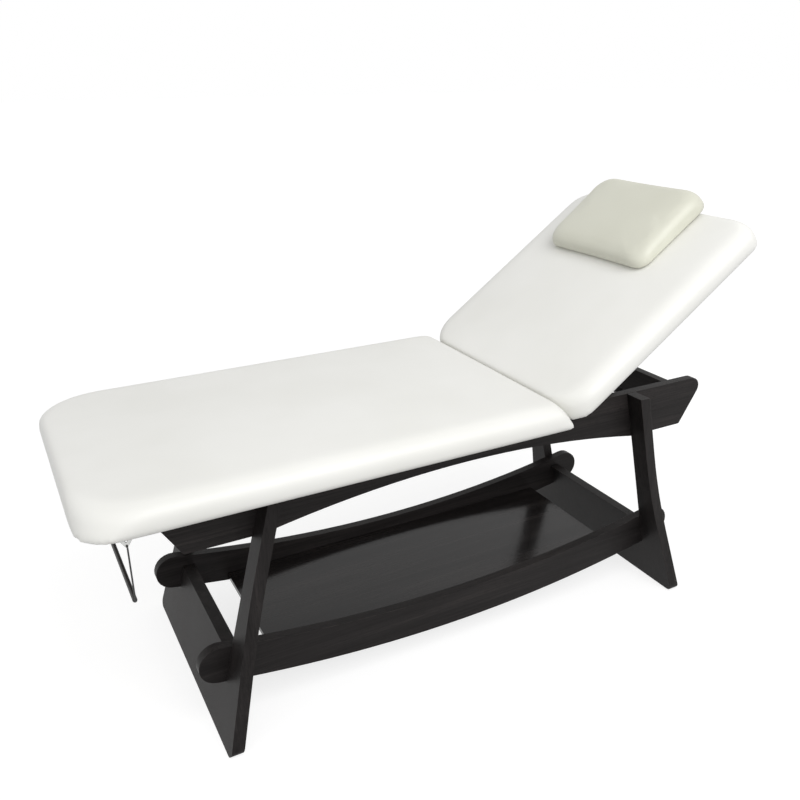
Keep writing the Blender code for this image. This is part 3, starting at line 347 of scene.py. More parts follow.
def level_circle(radius, height, sides):
    """A ring of points about the Z axis. The radius is a number or depends on the angle."""
    ring = []
    for side in range(sides):
        turn = math.tau * side / sides
        reach = radius(turn) if callable(radius) else radius
        ring.append((reach * math.cos(turn), reach * math.sin(turn), height))
    return ring


def hexagon(half_across):
    """Reach of a hexagon's outline at an angle, from half its width across flats."""
    sixth = math.tau / 6
    return lambda turn: half_across / math.cos(turn % sixth - sixth / 2)


def grown(mesh, tree, values):
    """The plain mesh that a Geometry Nodes tree makes of a mesh, with its inputs' values."""
    shaped = in_the_making(mesh)
    modifier = shaped.modifiers.new(tree.name, "NODES")
    modifier.node_group = tree
    for item in tree.interface.items_tree:
        if item.item_type == "SOCKET" and item.in_out == "INPUT" and item.name in values:
            modifier[item.identifier] = values[item.name]
    result = evaluated_copy(shaped)
    bpy.data.objects.remove(shaped)
    return result


def new_tree(name, inputs):
    """A Geometry Nodes tree with named inputs besides its geometry, their sockets and its end."""
    tree = bpy.data.node_groups.new(name, "GeometryNodeTree")
    tree.interface.new_socket("Geometry", in_out="INPUT", socket_type="NodeSocketGeometry")
    for label, kind in inputs:
        tree.interface.new_socket(label, in_out="INPUT", socket_type="NodeSocket" + kind)
    tree.interface.new_socket("Geometry", in_out="OUTPUT", socket_type="NodeSocketGeometry")
    return tree, tree.nodes.new("NodeGroupInput").outputs, tree.nodes.new("NodeGroupOutput")


def realized(tree, instances, metal, group_output):
    """Ends a tree: its instances become real and take their material."""
    real = add_node(tree, "GeometryNodeRealizeInstances", {"Geometry": instances})
    painted = add_node(tree, "GeometryNodeSetMaterial", {
        "Geometry": real.outputs["Geometry"], "Material": metal,
    })
    tree.links.new(painted.outputs["Geometry"], group_output.inputs["Geometry"])


def repeated(tree, given, group_output, points, rotation, least, most):
    """Ends a tree: its pattern stands at each point, turned on its axis by a random angle."""
    pattern = add_node(tree, "GeometryNodeObjectInfo", {"Object": given["Pattern"]})
    placed = add_node(tree, "GeometryNodeInstanceOnPoints", {
        "Points": points, "Instance": pattern.outputs["Geometry"], "Rotation": rotation,
    })
    angle = add_node(tree, "FunctionNodeRandomValue", {
        "Min": least, "Max": most, "Seed": given["Seed"],
    }, data_type="FLOAT")
    about_axis = add_node(tree, "FunctionNodeAxisAngleToRotation", {
        "Axis": (0.0, 0.0, 1.0), "Angle": angle.outputs["Value"],
    })
    turned_in = add_node(tree, "GeometryNodeRotateInstances", {
        "Instances": placed.outputs["Instances"], "Rotation": about_axis.outputs["Rotation"],
    })
    realized(tree, turned_in.outputs["Instances"], given["Metal"], group_output)


fastener_tree, given, result = new_tree("set_fasteners", (
    ("Pattern", "Object"), ("Metal", "Material"), ("Proud", "Float"), ("Seed", "Int"),
))
facing = add_node(
    fastener_tree, "GeometryNodeInputNamedAttribute", {"Name": "facing"}, data_type="FLOAT_VECTOR"
).outputs["Attribute"]
lifted_by = add_node(
    fastener_tree, "ShaderNodeVectorMath", {0: facing, "Scale": given["Proud"]}, operation="SCALE"
)
lifted = add_node(fastener_tree, "GeometryNodeSetPosition", {
    "Geometry": given["Geometry"], "Offset": lifted_by.outputs["Vector"],
})
aligned = add_node(
    fastener_tree, "FunctionNodeAlignRotationToVector", {"Vector": facing}, axis="Z"
)
repeated(
    fastener_tree, given, result, lifted.outputs["Geometry"], aligned.outputs["Rotation"],
    0.0, math.tau,
)


def pattern_object(name, body):
    """The one fastener that a tree repeats, kept out of the bed itself."""
    return bpy.data.objects.new(name, smoothed(mesh_of(name, body), 35.0))


def set_fasteners(name, pattern, places, seed, body="frame", proud=0.0):
    """Repeats a fastener at each place, given as (seat point, direction its head faces)."""
    mesh = bpy.data.meshes.new(name)
    mesh.from_pydata([place for place, _ in places], [], [])
    heads = mesh.attributes.new("facing", "FLOAT_VECTOR", "POINT")
    heads.data.foreach_set("vector", [value for _, way in places for value in way])
    whole = grown(mesh, fastener_tree, {
        "Pattern": pattern, "Metal": bright_zinc, "Proud": proud, "Seed": seed,
    })
    whole.name = name
    return new_piece(name, whole, bright_zinc, body)


def seated(node_name, way, head_height):
    """Where the head of a CAD fastener meets what it holds, and the way its head faces."""
    low, high = (Vector(corner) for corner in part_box(node_name))
    way = Vector(way)
    reach = abs(way.dot((high - low) / 2))
    return (low + high) / 2 + way * (reach - head_height), way


BOLT_SIDES = 24
BOLT_HEAD_HEIGHT = 0.005
BOLT_LENGTH = 0.0650
BOLT_RADIUS = 0.0039
BOLT_HEAD_RADIUS = 0.0079
SOCKET_HALF_ACROSS = 0.0025
SOCKET_DEPTH = 0.0028
bright_zinc = plated_steel("steel_zinc")
socket = hexagon(SOCKET_HALF_ACROSS)
bolt_rings = [
    (BOLT_RADIUS * 0.85, -BOLT_LENGTH), (BOLT_RADIUS, 0.0007 - BOLT_LENGTH), (BOLT_RADIUS, 0.0),
    (BOLT_HEAD_RADIUS * 0.96, 0.0), (BOLT_HEAD_RADIUS, 0.0004), (BOLT_HEAD_RADIUS, 0.0028),
    (BOLT_HEAD_RADIUS * 0.95, 0.0038), (BOLT_HEAD_RADIUS * 0.84, 0.0045),
    (BOLT_HEAD_RADIUS * 0.68, 0.0049), (BOLT_HEAD_RADIUS * 0.50, BOLT_HEAD_HEIGHT),
    (hexagon(SOCKET_HALF_ACROSS * 1.12), BOLT_HEAD_HEIGHT), (socket, BOLT_HEAD_HEIGHT - 0.0004),
    (socket, BOLT_HEAD_HEIGHT - SOCKET_DEPTH), (0.0008, BOLT_HEAD_HEIGHT - SOCKET_DEPTH - 0.0006),
]
bolt = pattern_object("hex_bolt", lofted([level_circle(r, z, BOLT_SIDES) for r, z in bolt_rings]))
bolt_nodes = [
    (f"frame_bolt_{end}_{side}_{level}", (0.0, inward, 0.0))
    for end in ("foot", "head") for side, inward in (("left", 1.0), ("right", -1.0))
    for level in ("top", "bottom")
]
frame_bolts = set_fasteners(
    "frame_bolts", bolt, [seated(node, way, BOLT_HEAD_HEIGHT) for node, way in bolt_nodes], 3
)
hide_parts(*[node for node, _ in bolt_nodes])


# Shelf. A 15 mm board lies on two cleats between the lower rails. It is lacquered to a higher
# gloss than the frame, so it mirrors the post and the bright room behind it. Each cleat is held
# to its rail by two screws with cross recesses.

SHELF_EDGE = 0.0010
SHELF_ROUGHNESS = 0.14
SHELF_MIRROR = 0.27
SHELF_SUNK = 0.10
SHELF_STREAKS = 0.7
shelf_wood = stained_wood(
    "wood_shelf_gloss", (0.0, 0.0, 0.0), SHELF_ROUGHNESS, SHELF_MIRROR, SHELF_SUNK, SHELF_STREAKS
)
eased_part("shelf", SHELF_EDGE, shelf_wood)
for node_name in ("shelf_cleat_left", "shelf_cleat_right"):
    eased_part(node_name, SHELF_EDGE, lengthwise_wood)


def cross_recess(length, half_width):
    """Reach of a cross-shaped recess at an angle, from its arms' length and half width."""
    def reach(turn):
        aside = abs((turn + QUARTER / 2) % QUARTER - QUARTER / 2)
        return min(length / math.cos(aside), half_width / max(math.sin(aside), 0.001))
    return reach


SCREW_SIDES = 32
SCREW_HEAD_HEIGHT = 0.0025
SCREW_RADIUS = 0.0019
SCREW_HEAD_RADIUS = 0.0039
CROSS_HALF_LENGTH = 0.0021
CROSS_HALF_WIDTH = 0.0005
CROSS_DEPTH = 0.0015
CLEAT_SCREW_LENGTH = 0.0345


def wood_screw(name, length):
    """A pan-head wood screw along its axis, with a pointed tip and a cross recess."""
    cross = cross_recess(CROSS_HALF_LENGTH, CROSS_HALF_WIDTH)
    rings = [
        (0.0003, -length), (SCREW_RADIUS, 0.004 - length), (SCREW_RADIUS, 0.0),
        (SCREW_HEAD_RADIUS * 0.95, 0.0), (SCREW_HEAD_RADIUS, 0.0003), (SCREW_HEAD_RADIUS, 0.0011),
        (SCREW_HEAD_RADIUS * 0.93, 0.0018), (SCREW_HEAD_RADIUS * 0.78, 0.0023),
        (SCREW_HEAD_RADIUS * 0.62, SCREW_HEAD_HEIGHT), (cross, SCREW_HEAD_HEIGHT),
        (cross, SCREW_HEAD_HEIGHT - CROSS_DEPTH * 0.8), (0.0003, SCREW_HEAD_HEIGHT - CROSS_DEPTH),
    ]
    return pattern_object(name, lofted([level_circle(r, z, SCREW_SIDES) for r, z in rings]))


cleat_screw = wood_screw("cleat_screw", CLEAT_SCREW_LENGTH)
cleat_screw_nodes = [
    (f"cleat_screw_{side}_{end}", (0.0, inward, 0.0))
    for side, inward in (("left", 1.0), ("right", -1.0)) for end in ("foot", "head")
]
cleat_screws = set_fasteners(
    "cleat_screws", cleat_screw,
    [seated(node, way, SCREW_HEAD_HEIGHT) for node, way in cleat_screw_nodes], 5,
)
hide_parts(*[node for node, _ in cleat_screw_nodes])


# Racks and blocks of the backrest's prop. Strips of the same wood with four notches on the
# upper rails, and two blocks under the back board that hold the prop's rod.

RACK_EDGE = 0.0006
RACK_SCREW_LENGTH = 0.030
RACK_SCREW_SHARES = (0.12, 0.52, 0.90)
RACK_SCREW_HEIGHT = 0.42
for node_name in ("prop_rack_left", "prop_rack_right"):
    eased_part(node_name, RACK_EDGE, lengthwise_wood)
for node_name in ("prop_block_left", "prop_block_right"):
    eased_part(node_name, RACK_EDGE, lengthwise_wood, "backrest")

rack_screw = wood_screw("rack_screw", RACK_SCREW_LENGTH)
rack_places = []
for node_name, inward in (("prop_rack_left", 1.0), ("prop_rack_right", -1.0)):
    low, high = (Vector(corner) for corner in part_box(node_name))
    y = high.y if inward > 0 else low.y
    z = low.z + (high.z - low.z) * RACK_SCREW_HEIGHT
    for share in RACK_SCREW_SHARES:
        spot = Vector((low.x + (high.x - low.x) * share, y, z))
        rack_places.append((spot, Vector((0.0, inward, 0.0))))
set_fasteners("rack_screws", rack_screw, rack_places, 7)


# Pad boards. A 15 mm plywood panel sits flush in each pad's underside and takes the screws.
# It stays raw below: pale face veneer with its grain along the bed, and darker plies at its edge.

PLY_PALE = (0.480, 0.350, 0.205, 1.0)
PLY_MIDDLE = (0.400, 0.280, 0.155, 1.0)
PLY_DARK = (0.270, 0.175, 0.090, 1.0)
FLAME_STRETCH = (2.2, 16.0, 260.0)
FIBRE_STRETCH = (20.0, 700.0, 300.0)


def raw_plywood(name, turn):
    """Unfinished veneer with broad flame figure, fine lines and a rough dry surface."""
    made, tree, shader = new_material(name)
    place = object_place(tree)
    figure = noise(tree, mapped(tree, place, Rotation=turn, Scale=FLAME_STRETCH), 1.0, 5.0, 1.2)
    fibre = noise(tree, mapped(tree, place, Rotation=turn, Scale=FIBRE_STRETCH), 1.0, 2.0)
    both = mixed(tree, "FLOAT", 0.3, figure, fibre)
    tone = coloured(tree, both, [(0.34, PLY_DARK), (0.50, PLY_MIDDLE), (0.66, PLY_PALE)])
    surface(tree, shader, tone, ranged(tree, fibre, 0.62, 0.82), fibre, 0.4, 0.0003)
    return made


BOARD_EDGE = 0.0008
BACK_ANGLE = math.radians(35.3)
SEAT_SCREW_LENGTH = 0.0325
seat_plywood = raw_plywood("plywood_seat", (0.0, 0.0, 0.0))
back_plywood = raw_plywood("plywood_back", (0.0, BACK_ANGLE, 0.0))
eased_part("seat_board", BOARD_EDGE, seat_plywood, "frame", "_panel")
eased_part("back_board", BOARD_EDGE, back_plywood, "backrest", "_panel")

seat_screw = wood_screw("seat_screw", SEAT_SCREW_LENGTH)
seat_screw_nodes = [
    f"seat_screw_{bar}_{side}" for bar in ("foot", "middle") for side in ("left", "right")
]
seat_screws = set_fasteners(
    "seat_screws", seat_screw,
    [seated(node, (0.0, 0.0, -1.0), SCREW_HEAD_HEIGHT) for node in seat_screw_nodes], 11,
)
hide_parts(*seat_screw_nodes)


# Hinges. Two pairs of 2 mm steel leaves lie under the boards. Their ends are rolled round a
# pin, and each leaf is held by three screws whose heads stand a little proud.

BED_SHIFT = 0.062988
HINGE_AT = Vector((0.237 + BED_SHIFT, 0.0, 0.6249))
LEAF_EDGE = 0.0003
LEAF_UNDERSIDE = 0.0023
LEAF_MIDDLE_Y = 0.120
LEAF_SCREW_SPOTS = ((0.018, -0.030), (0.040, 0.0), (0.018, 0.030))
LEAF_SCREW_LENGTH = 0.012
LEAF_SCREW_SUNK = 0.0012
PIN_RADIUS = 0.00195
PIN_HALF_LENGTH = 0.0412
hinge_turn = Matrix.Rotation(-BACK_ANGLE, 3, "Y")
hinge_screw = wood_screw("hinge_screw", LEAF_SCREW_LENGTH)
for side, middle_y in (("left", -LEAF_MIDDLE_Y), ("right", LEAF_MIDDLE_Y)):
    for half, sign, turn, body_name in (
        ("seat", -1.0, Matrix.Identity(3), "frame"), ("back", 1.0, hinge_turn, "backrest"),
    ):
        eased_part(
            f"{half}_hinge_leaf_{side}", LEAF_EDGE, bright_zinc, body_name, "_rolled"
        )
        under = turn @ Vector((0.0, 0.0, -1.0))
        places = [
            (HINGE_AT + turn @ Vector((sign * along, middle_y + aside, LEAF_UNDERSIDE)), under)
            for along, aside in LEAF_SCREW_SPOTS
        ]
        label = f"{half}_leaf_screws_{side}"
        set_fasteners(label, hinge_screw, places, 13, body_name, -LEAF_SCREW_SUNK)
    pin_rings = [
        (PIN_RADIUS * 0.55, -PIN_HALF_LENGTH), (PIN_RADIUS * 0.9, 0.0004 - PIN_HALF_LENGTH),
        (PIN_RADIUS, 0.001 - PIN_HALF_LENGTH), (PIN_RADIUS, PIN_HALF_LENGTH - 0.001),
        (PIN_RADIUS * 0.9, PIN_HALF_LENGTH - 0.0004), (PIN_RADIUS * 0.55, PIN_HALF_LENGTH),
    ]
    shape = lofted([level_circle(r, z, BOLT_SIDES) for r, z in pin_rings])
    bmesh.ops.transform(shape, matrix=Matrix.Rotation(QUARTER, 4, "X"), verts=shape.verts)
    offset = HINGE_AT + Vector((0.0, middle_y, 0.0))
    bmesh.ops.translate(shape, vec=offset, verts=shape.verts)
    node_name = "hinge_pin_" + side
    mesh = finished_mesh(node_name, shape)
    pin = new_piece(node_name + "_domed", mesh, bright_zinc, "frame")
    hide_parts(node_name)


# Pads. Foam on each board, under smooth white upholstery vinyl without a seam. It is pulled
# over the foam, which rounds off and drops at the corners, and stapled under the board.

VINYL_WHITE = (0.835, 0.832, 0.800, 1.0)
VINYL_SHADE = (0.805, 0.802, 0.765, 1.0)
VINYL_ROUGHNESS = 0.42
GRAIN_SCALE = 640.0


def upholstery_vinyl(name, pale, shade, roughness, turn):
    """Smooth coated fabric with a fine pressed grain, a faint cloudiness and a soft sheen."""
    made, tree, shader = new_material(name)
    place = mapped(tree, object_place(tree), Rotation=turn)
    tone = coloured(tree, noise(tree, place, 4.0, 2.0), [(0.32, shade), (0.62, pale)])
    cells = fed(
        tree, "ShaderNodeTexVoronoi", place, {"Scale": GRAIN_SCALE}, result="Distance",
        feature="DISTANCE_TO_EDGE",
    )
    hand = noise(tree, place, 90.0, 2.0)
    grain = worked_out(tree, "MULTIPLY_ADD", ranged(tree, cells, 0.0, 1.0, 0.0, 0.14), 0.6, hand)
    gloss = ranged(tree, hand, roughness - 0.04, roughness + 0.06)
    surface(tree, shader, tone, gloss, grain, 0.14, 0.0003)
    shader.inputs["Sheen Weight"].default_value = 0.06
    shader.inputs["Sheen Roughness"].default_value = 0.4
    return made


CORNER_PARTS = 16
TOP_PARTS = 14


def slab_ring(low_x, high_x, half_width, low_corner, high_corner, height):
    """A level ring round a padded slab: a rounded rectangle that starts at its head corner."""
    corners = (
        (high_x - high_corner, -half_width + high_corner, high_corner, -QUARTER),
        (high_x - high_corner, half_width - high_corner, high_corner, 0.0),
        (low_x + low_corner, half_width - low_corner, low_corner, QUARTER),
        (low_x + low_corner, -half_width + low_corner, low_corner, math.pi),
    )
    ring = []
    for x, y, radius, start in corners:
        for part in range(CORNER_PARTS + 1):
            turn = start + QUARTER * part / CORNER_PARTS
            ring.append((x + radius * math.cos(turn), y + radius * math.sin(turn), height))
    return ring


def slab_shape(low_x, high_x, width, thickness, shoulder, heel, ends):
    """Closed padded slab in its own frame, its underside at height zero, as a bmesh.

    shoulder is (reach inward, drop) of the rounded top edge and heel the radius below. Each of
    the ends is (corner radius below, its growth for each metre of height, bevel in radians,
    share of the edge reaches used at that end).
    """
    reach, drop = shoulder
    steps = []
    for part in range(TOP_PARTS + 1):
        turn = QUARTER * part / TOP_PARTS
        steps.append((heel * (1 - math.sin(turn)), heel * (1 - math.cos(turn))))
    for part in range(TOP_PARTS + 1):
        turn = QUARTER * part / TOP_PARTS
        steps.append((reach * (1 - math.cos(turn)), thickness - drop * (1 - math.sin(turn))))
    half = min(width, high_x - low_x) / 2
    for part in range(1, TOP_PARTS):
        steps.append((reach + (half - reach) * part / TOP_PARTS, thickness))
    rings = []
    for inset, height in steps:
        insets, radii = [], []
        for corner, growth, bevel, share in ends:
            insets.append(inset * share + height * math.tan(bevel))
            radii.append(max(corner - 0.5 * inset, 0.3 * inset, 0.004) + growth * height)
        low, high = low_x + insets[0], high_x - insets[1]
        largest = 0.8 * min(width / 2 - inset, (high - low) / 2)
        radii = [min(radius, largest) for radius in radii]
        rings.append(slab_ring(low, high, width / 2 - inset, *radii, height))
    return lofted(rings)


def relaxed(mesh, rounds, above):
    """Evens out the points above a height, as stretched vinyl does."""
    body = bmesh.new()
    body.from_mesh(mesh)
    loose = [vert for vert in body.verts if vert.co.z > above]
    for _ in range(rounds):
        bmesh.ops.smooth_vert(
            body, verts=loose, factor=0.5, use_axis_x=True, use_axis_y=True, use_axis_z=True
        )
    body.to_mesh(mesh)
    body.free()


def points_of(mesh, kind="co"):
    """The places of a mesh's points, or their normals, as rows of an array."""
    values = np.empty(len(mesh.vertices) * 3)
    if kind == "co":
        mesh.vertices.foreach_get("co", values)
    else:
        mesh.vertex_normals.foreach_get("vector", values)
    return values.reshape(-1, 3)


CLOTH_STEPS = 20
CLOTH_PRESSURE = 4.0
CLOTH_STIFFNESS = 25.0
CLOTH_BENDING = 2.0
FULL_RISE_PERCENTILE = 99.5
MOST_SUNK = -0.1
CALM_OVER = 0.06


def stuffed(name, body, voxel, swell, held_below, calm_from=None):
    """A slab as foam under its cover: remeshed, blown up as cloth, and held back by the foam.

    The swell is the most that the foam lets the cover rise. Points below held_below don't
    move, because the board or the pad beneath holds them. Near calm_from along X, where the
    two pads meet, the cover rises less.
    """
    shaped = in_the_making(mesh_of(name, body))
    remesh = shaped.modifiers.new("remesh", "REMESH")
    remesh.mode = "VOXEL"
    remesh.voxel_size = voxel
    fine = evaluated_copy(shaped)
    shaped.modifiers.clear()
    shaped.data = fine
    relaxed(fine, 2, held_below)
    start = points_of(fine)
    normals = points_of(fine, "normals")
    held = shaped.vertex_groups.new(name="held")
    held.add([int(i) for i in np.nonzero(start[:, 2] < held_below)[0]], 1.0, "REPLACE")
    cloth = shaped.modifiers.new("cloth", "CLOTH")
    cloth.settings.vertex_group_mass = "held"
    cloth.settings.use_pressure = True
    cloth.settings.uniform_pressure_force = CLOTH_PRESSURE
    cloth.settings.effector_weights.gravity = 0.0
    cloth.settings.tension_stiffness = CLOTH_STIFFNESS
    cloth.settings.compression_stiffness = CLOTH_STIFFNESS
    cloth.settings.bending_stiffness = CLOTH_BENDING
    cloth.collision_settings.use_collision = False
    cloth.point_cache.frame_start = 1
    cloth.point_cache.frame_end = CLOTH_STEPS
    for moment in range(1, CLOTH_STEPS + 1):
        bpy.context.scene.frame_set(moment)
    blown = evaluated_copy(shaped)
    rise = np.einsum("ij,ij->i", points_of(blown) - start, normals)
    bpy.data.meshes.remove(blown)
    shaped.modifiers.clear()
    bpy.context.scene.frame_set(1)
    rise /= np.percentile(rise, FULL_RISE_PERCENTILE)
    rise = swell * np.clip(rise, MOST_SUNK, 1.0)
    if calm_from is not None:
        rise *= np.clip(np.abs(start[:, 0] - calm_from) / CALM_OVER, 0.0, 1.0)
    fine.vertices.foreach_set("co", (start + normals * rise[:, None]).ravel())
    relaxed(fine, 2, held_below)
    finer = shaped.modifiers.new("finer", "SUBSURF")
    finer.levels = finer.render_levels = 1
    fine = evaluated_copy(shaped)
    bpy.data.objects.remove(shaped)
    fine.shade_smooth()
    fine.name = name
    return fine


def pocketed(mesh, low_x, high_x, half_width, low_corner, high_corner):
    """Cuts the hollow for the board into a pad's underside."""
    cutter = lofted([
        slab_ring(low_x, high_x, half_width, low_corner, high_corner, height)
        for height in (-0.01, POCKET_DEPTH)
    ])
    tool = in_the_making(mesh_of("pocket", cutter))
    pad = in_the_making(mesh)
    hollow = pad.modifiers.new("pocket", "BOOLEAN")
    hollow.operation = "DIFFERENCE"
    hollow.solver = "EXACT"
    hollow.object = tool
    result = evaluated_copy(pad)
    bpy.data.objects.remove(tool)
    bpy.data.objects.remove(pad)
    return smoothed(result, 55.0)


def covered(node_name, span, ends, pocket, calm_from, place, body):
    """A pad that takes its CAD node's place: stuffed, hollow for its board, and covered."""
    name = node_name + "_cover"
    slab = slab_shape(*span, PAD_WIDTH, PAD_THICKNESS, PAD_SHOULDER, PAD_HEEL, ends)
    mesh = stuffed(name, slab, PAD_VOXEL, PAD_SWELL, HELD_BELOW, calm_from)
    mesh = pocketed(mesh, *pocket)
    mesh.transform(place)
    cover = new_piece(name, mesh, white_vinyl, body)
    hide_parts(node_name)


PAD_UNDERSIDE = 0.6295
BACK_LIFT = 0.0046
POCKET_DEPTH = 0.0153
PAD_WIDTH = 0.6994
PAD_THICKNESS = 0.0665
PAD_SHOULDER = (0.052, 0.031)
PAD_HEEL = 0.007
PAD_VOXEL = 0.008
PAD_SWELL = 0.0035
HELD_BELOW = 0.002
SEAT_SPAN = (-0.9330, 0.2396)
BACK_SPAN = (0.0062, 0.7085)
SEAT_ENDS = ((0.080, 1.3, 0.0, 0.38), (0.020, 0.2, math.radians(35.0), 0.06))
BACK_ENDS = ((0.062, 0.6, math.radians(3.0), 0.06), (0.052, 0.3, 0.0, 0.36))
BOARD_HALF = 0.3323
BOARD_CORNERS = (0.066, 0.035)
white_vinyl = upholstery_vinyl(
    "vinyl_white", VINYL_WHITE, VINYL_SHADE, VINYL_ROUGHNESS, (0.0, 0.0, 0.0)
)
seat_place = Matrix.Translation((BED_SHIFT, 0.0, PAD_UNDERSIDE))
back_place = (
    Matrix.Translation(HINGE_AT) @ Matrix.Rotation(-BACK_ANGLE, 4, "Y")
    @ Matrix.Translation((0.0, 0.0, BACK_LIFT))
)
SEAT_POCKET = (-0.9143, 0.2179, BOARD_HALF, *BOARD_CORNERS)
BACK_POCKET = (0.0279, 0.6883, BOARD_HALF, *reversed(BOARD_CORNERS))
covered("seat_pad", SEAT_SPAN, SEAT_ENDS, SEAT_POCKET, SEAT_SPAN[1], seat_place, "frame")
covered("back_pad", BACK_SPAN, BACK_ENDS, BACK_POCKET, BACK_SPAN[0], back_place, "backrest")


# Turned-under vinyl. The cover's edge is cut by hand and stapled to the underside of each
# board on its three outer sides. The hinge side stays clear for the leaves.

STRIP_OUTSIDE = 0.0025
STRIP_WIDTH = 0.0165
STRIP_THICKNESS = 0.0006
STRIP_STEP = 0.010
STRIP_SETBACK = 0.012
STRIP_WANDER = 0.0022
WANDER_OVER = 9
STRIP_LIFT = 0.00005
STAPLE_PITCH = 0.036
STAPLE_HALF_LENGTH = 0.0050
STAPLE_WIRE = 0.0006
STAPLE_LEG = 0.003
STAPLE_SLANT = 0.16

staple_tree, given, result = new_tree("staple_run", (
    ("Pattern", "Object"), ("Metal", "Material"), ("Pitch", "Float"), ("Slant", "Float"),
    ("Seed", "Int"),
))
run = add_node(staple_tree, "GeometryNodeMeshToCurve", {"Mesh": given["Geometry"]})
spaced = add_node(staple_tree, "GeometryNodeResampleCurve", {
    "Curve": run.outputs["Curve"], "Length": given["Pitch"],
}, mode="LENGTH")
facing_down = add_node(
    staple_tree, "FunctionNodeAlignRotationToVector", {"Vector": (0.0, 0.0, -1.0)}, axis="Z"
)
tangent = add_node(staple_tree, "GeometryNodeInputTangent")
along_edge = add_node(staple_tree, "FunctionNodeAlignRotationToVector", {
    "Rotation": facing_down.outputs["Rotation"], "Vector": tangent.outputs["Tangent"],
}, axis="X", pivot_axis="Z")
repeated(
    staple_tree, given, result, spaced.outputs["Curve"], along_edge.outputs["Rotation"],
    worked_out(staple_tree, "MULTIPLY", given["Slant"], -1.0), given["Slant"],
)

long, thick = STAPLE_HALF_LENGTH, STAPLE_WIRE
staple_route = (
    (-long, -STAPLE_LEG, 1.0, 0.0), (-long, 0.0, 0.7, -0.7),
    (long, 0.0, -0.7, -0.7), (long, -STAPLE_LEG, -1.0, 0.0),
)
staple = pattern_object("staple", lofted([
    [(x, -thick, z), (x, thick, z), (x + thick * inward, thick, z + thick * lower),
     (x + thick * inward, -thick, z + thick * lower)]
    for x, z, inward, lower in staple_route
]))


def open_run(pocket, inset, from_head):
    """Points round a board's underside, past its foot or its head end, evenly spaced."""
    low_x, high_x, half_width, low_corner, high_corner = pocket
    ring = slab_ring(
        low_x + inset, high_x - inset, half_width - inset,
        max(low_corner - inset, 0.002), max(high_corner - inset, 0.002), 0.0,
    )
    quarter = CORNER_PARTS + 1
    if from_head:
        ring = ring[-1:] + ring[:2 * quarter + 1]
    else:
        ring = ring[2 * quarter - 1:] + ring[:1]
    ring = np.array(ring)[:, :2]
    lengths = np.concatenate([[0.0], np.cumsum(np.hypot(*np.diff(ring, axis=0).T))])
    count = round(lengths[-1] / STRIP_STEP)
    spots = np.linspace(STRIP_SETBACK, lengths[-1] - STRIP_SETBACK, count)
    return np.column_stack([np.interp(spots, lengths, ring[:, axis]) for axis in (0, 1)])


def turned_under(name, pocket, place, from_head, seed, body):
    """The strip of vinyl under one board, cut a little unevenly, and its row of staples."""
    outer = open_run(pocket, -STRIP_OUTSIDE, from_head)
    middle = open_run(pocket, STRIP_WIDTH / 2, from_head)
    along = np.gradient(outer, axis=0)
    inward = np.column_stack([-along[:, 1], along[:, 0]])
    inward /= np.hypot(*inward.T)[:, None]
    inward *= np.sign(np.einsum("ij,ij->i", inward, outer.mean(axis=0) - outer))[:, None]
    wander = np.random.default_rng(seed).normal(0.0, 1.0, len(outer) + WANDER_OVER - 1)
    wander = np.convolve(wander, np.ones(WANDER_OVER) / WANDER_OVER, "valid")
    inner = outer + inward * (STRIP_OUTSIDE + STRIP_WIDTH + STRIP_WANDER * wander)[:, None]
    upper, lower = -STRIP_LIFT, -STRIP_THICKNESS
    rings = [[(*a, upper), (*b, upper), (*b, lower), (*a, lower)] for a, b in zip(outer, inner)]
    shape = lofted(rings)
    bmesh.ops.recalc_face_normals(shape, faces=shape.faces)
    bmesh.ops.transform(shape, matrix=place, verts=shape.verts)
    strip = finished_mesh(name + "_turned_edge", shape)
    new_piece(name + "_turned_edge", strip, white_vinyl, body)
    mesh = bpy.data.meshes.new(name + "_staples")
    mesh.from_pydata(
        [(x, y, -STRIP_THICKNESS - STAPLE_WIRE) for x, y in middle],
        [(index, index + 1) for index in range(len(middle) - 1)], [],
    )
    whole = grown(mesh, staple_tree, {
        "Pattern": staple, "Metal": bright_zinc, "Pitch": STAPLE_PITCH, "Slant": STAPLE_SLANT,
        "Seed": seed,
    })
    whole.transform(place)
    new_piece(name + "_staples", whole, bright_zinc, body)


turned_under("seat", SEAT_POCKET, seat_place, False, 17, "frame")
turned_under("back", BACK_POCKET, back_place, True, 19, "backrest")


# Pillow. A small slab of foam in ivory vinyl, sewn all round in one piece, that lies loose on
# the back pad. Its edges and corners are rounder than the pads', and its sides draw in.

PILLOW_IVORY = (0.655, 0.655, 0.562, 1.0)
PILLOW_SHADE = (0.617, 0.615, 0.522, 1.0)
PILLOW_LOW, PILLOW_HIGH = 0.4475, 0.7245
PILLOW_WIDTH = 0.402
PILLOW_ASIDE = 0.020
PILLOW_ENDS = ((0.032, 0.6, 0.0, 1.0), (0.032, 0.6, 0.0, 0.7))
PILLOW_THICKNESS = 0.055
PILLOW_WEDGE = 0.13
PILLOW_REST = PAD_THICKNESS + 0.0028
PILLOW_SHOULDER = (0.034, 0.026)
PILLOW_HEEL = 0.018
PILLOW_VOXEL = 0.005
PILLOW_SWELL = 0.007
PILLOW_HELD_BELOW = 0.001
PILLOW_DRAWN_IN = 0.004
PILLOW_ROUGHNESS = 0.40
ivory_vinyl = upholstery_vinyl(
    "vinyl_ivory", PILLOW_IVORY, PILLOW_SHADE, PILLOW_ROUGHNESS, (0.0, BACK_ANGLE, 0.0)
)
pillow_place = back_place @ Matrix.Translation((0.0, PILLOW_ASIDE, PILLOW_REST))
pillow_slab = slab_shape(
    PILLOW_LOW, PILLOW_HIGH, PILLOW_WIDTH, PILLOW_THICKNESS, PILLOW_SHOULDER, PILLOW_HEEL,
    PILLOW_ENDS,
)
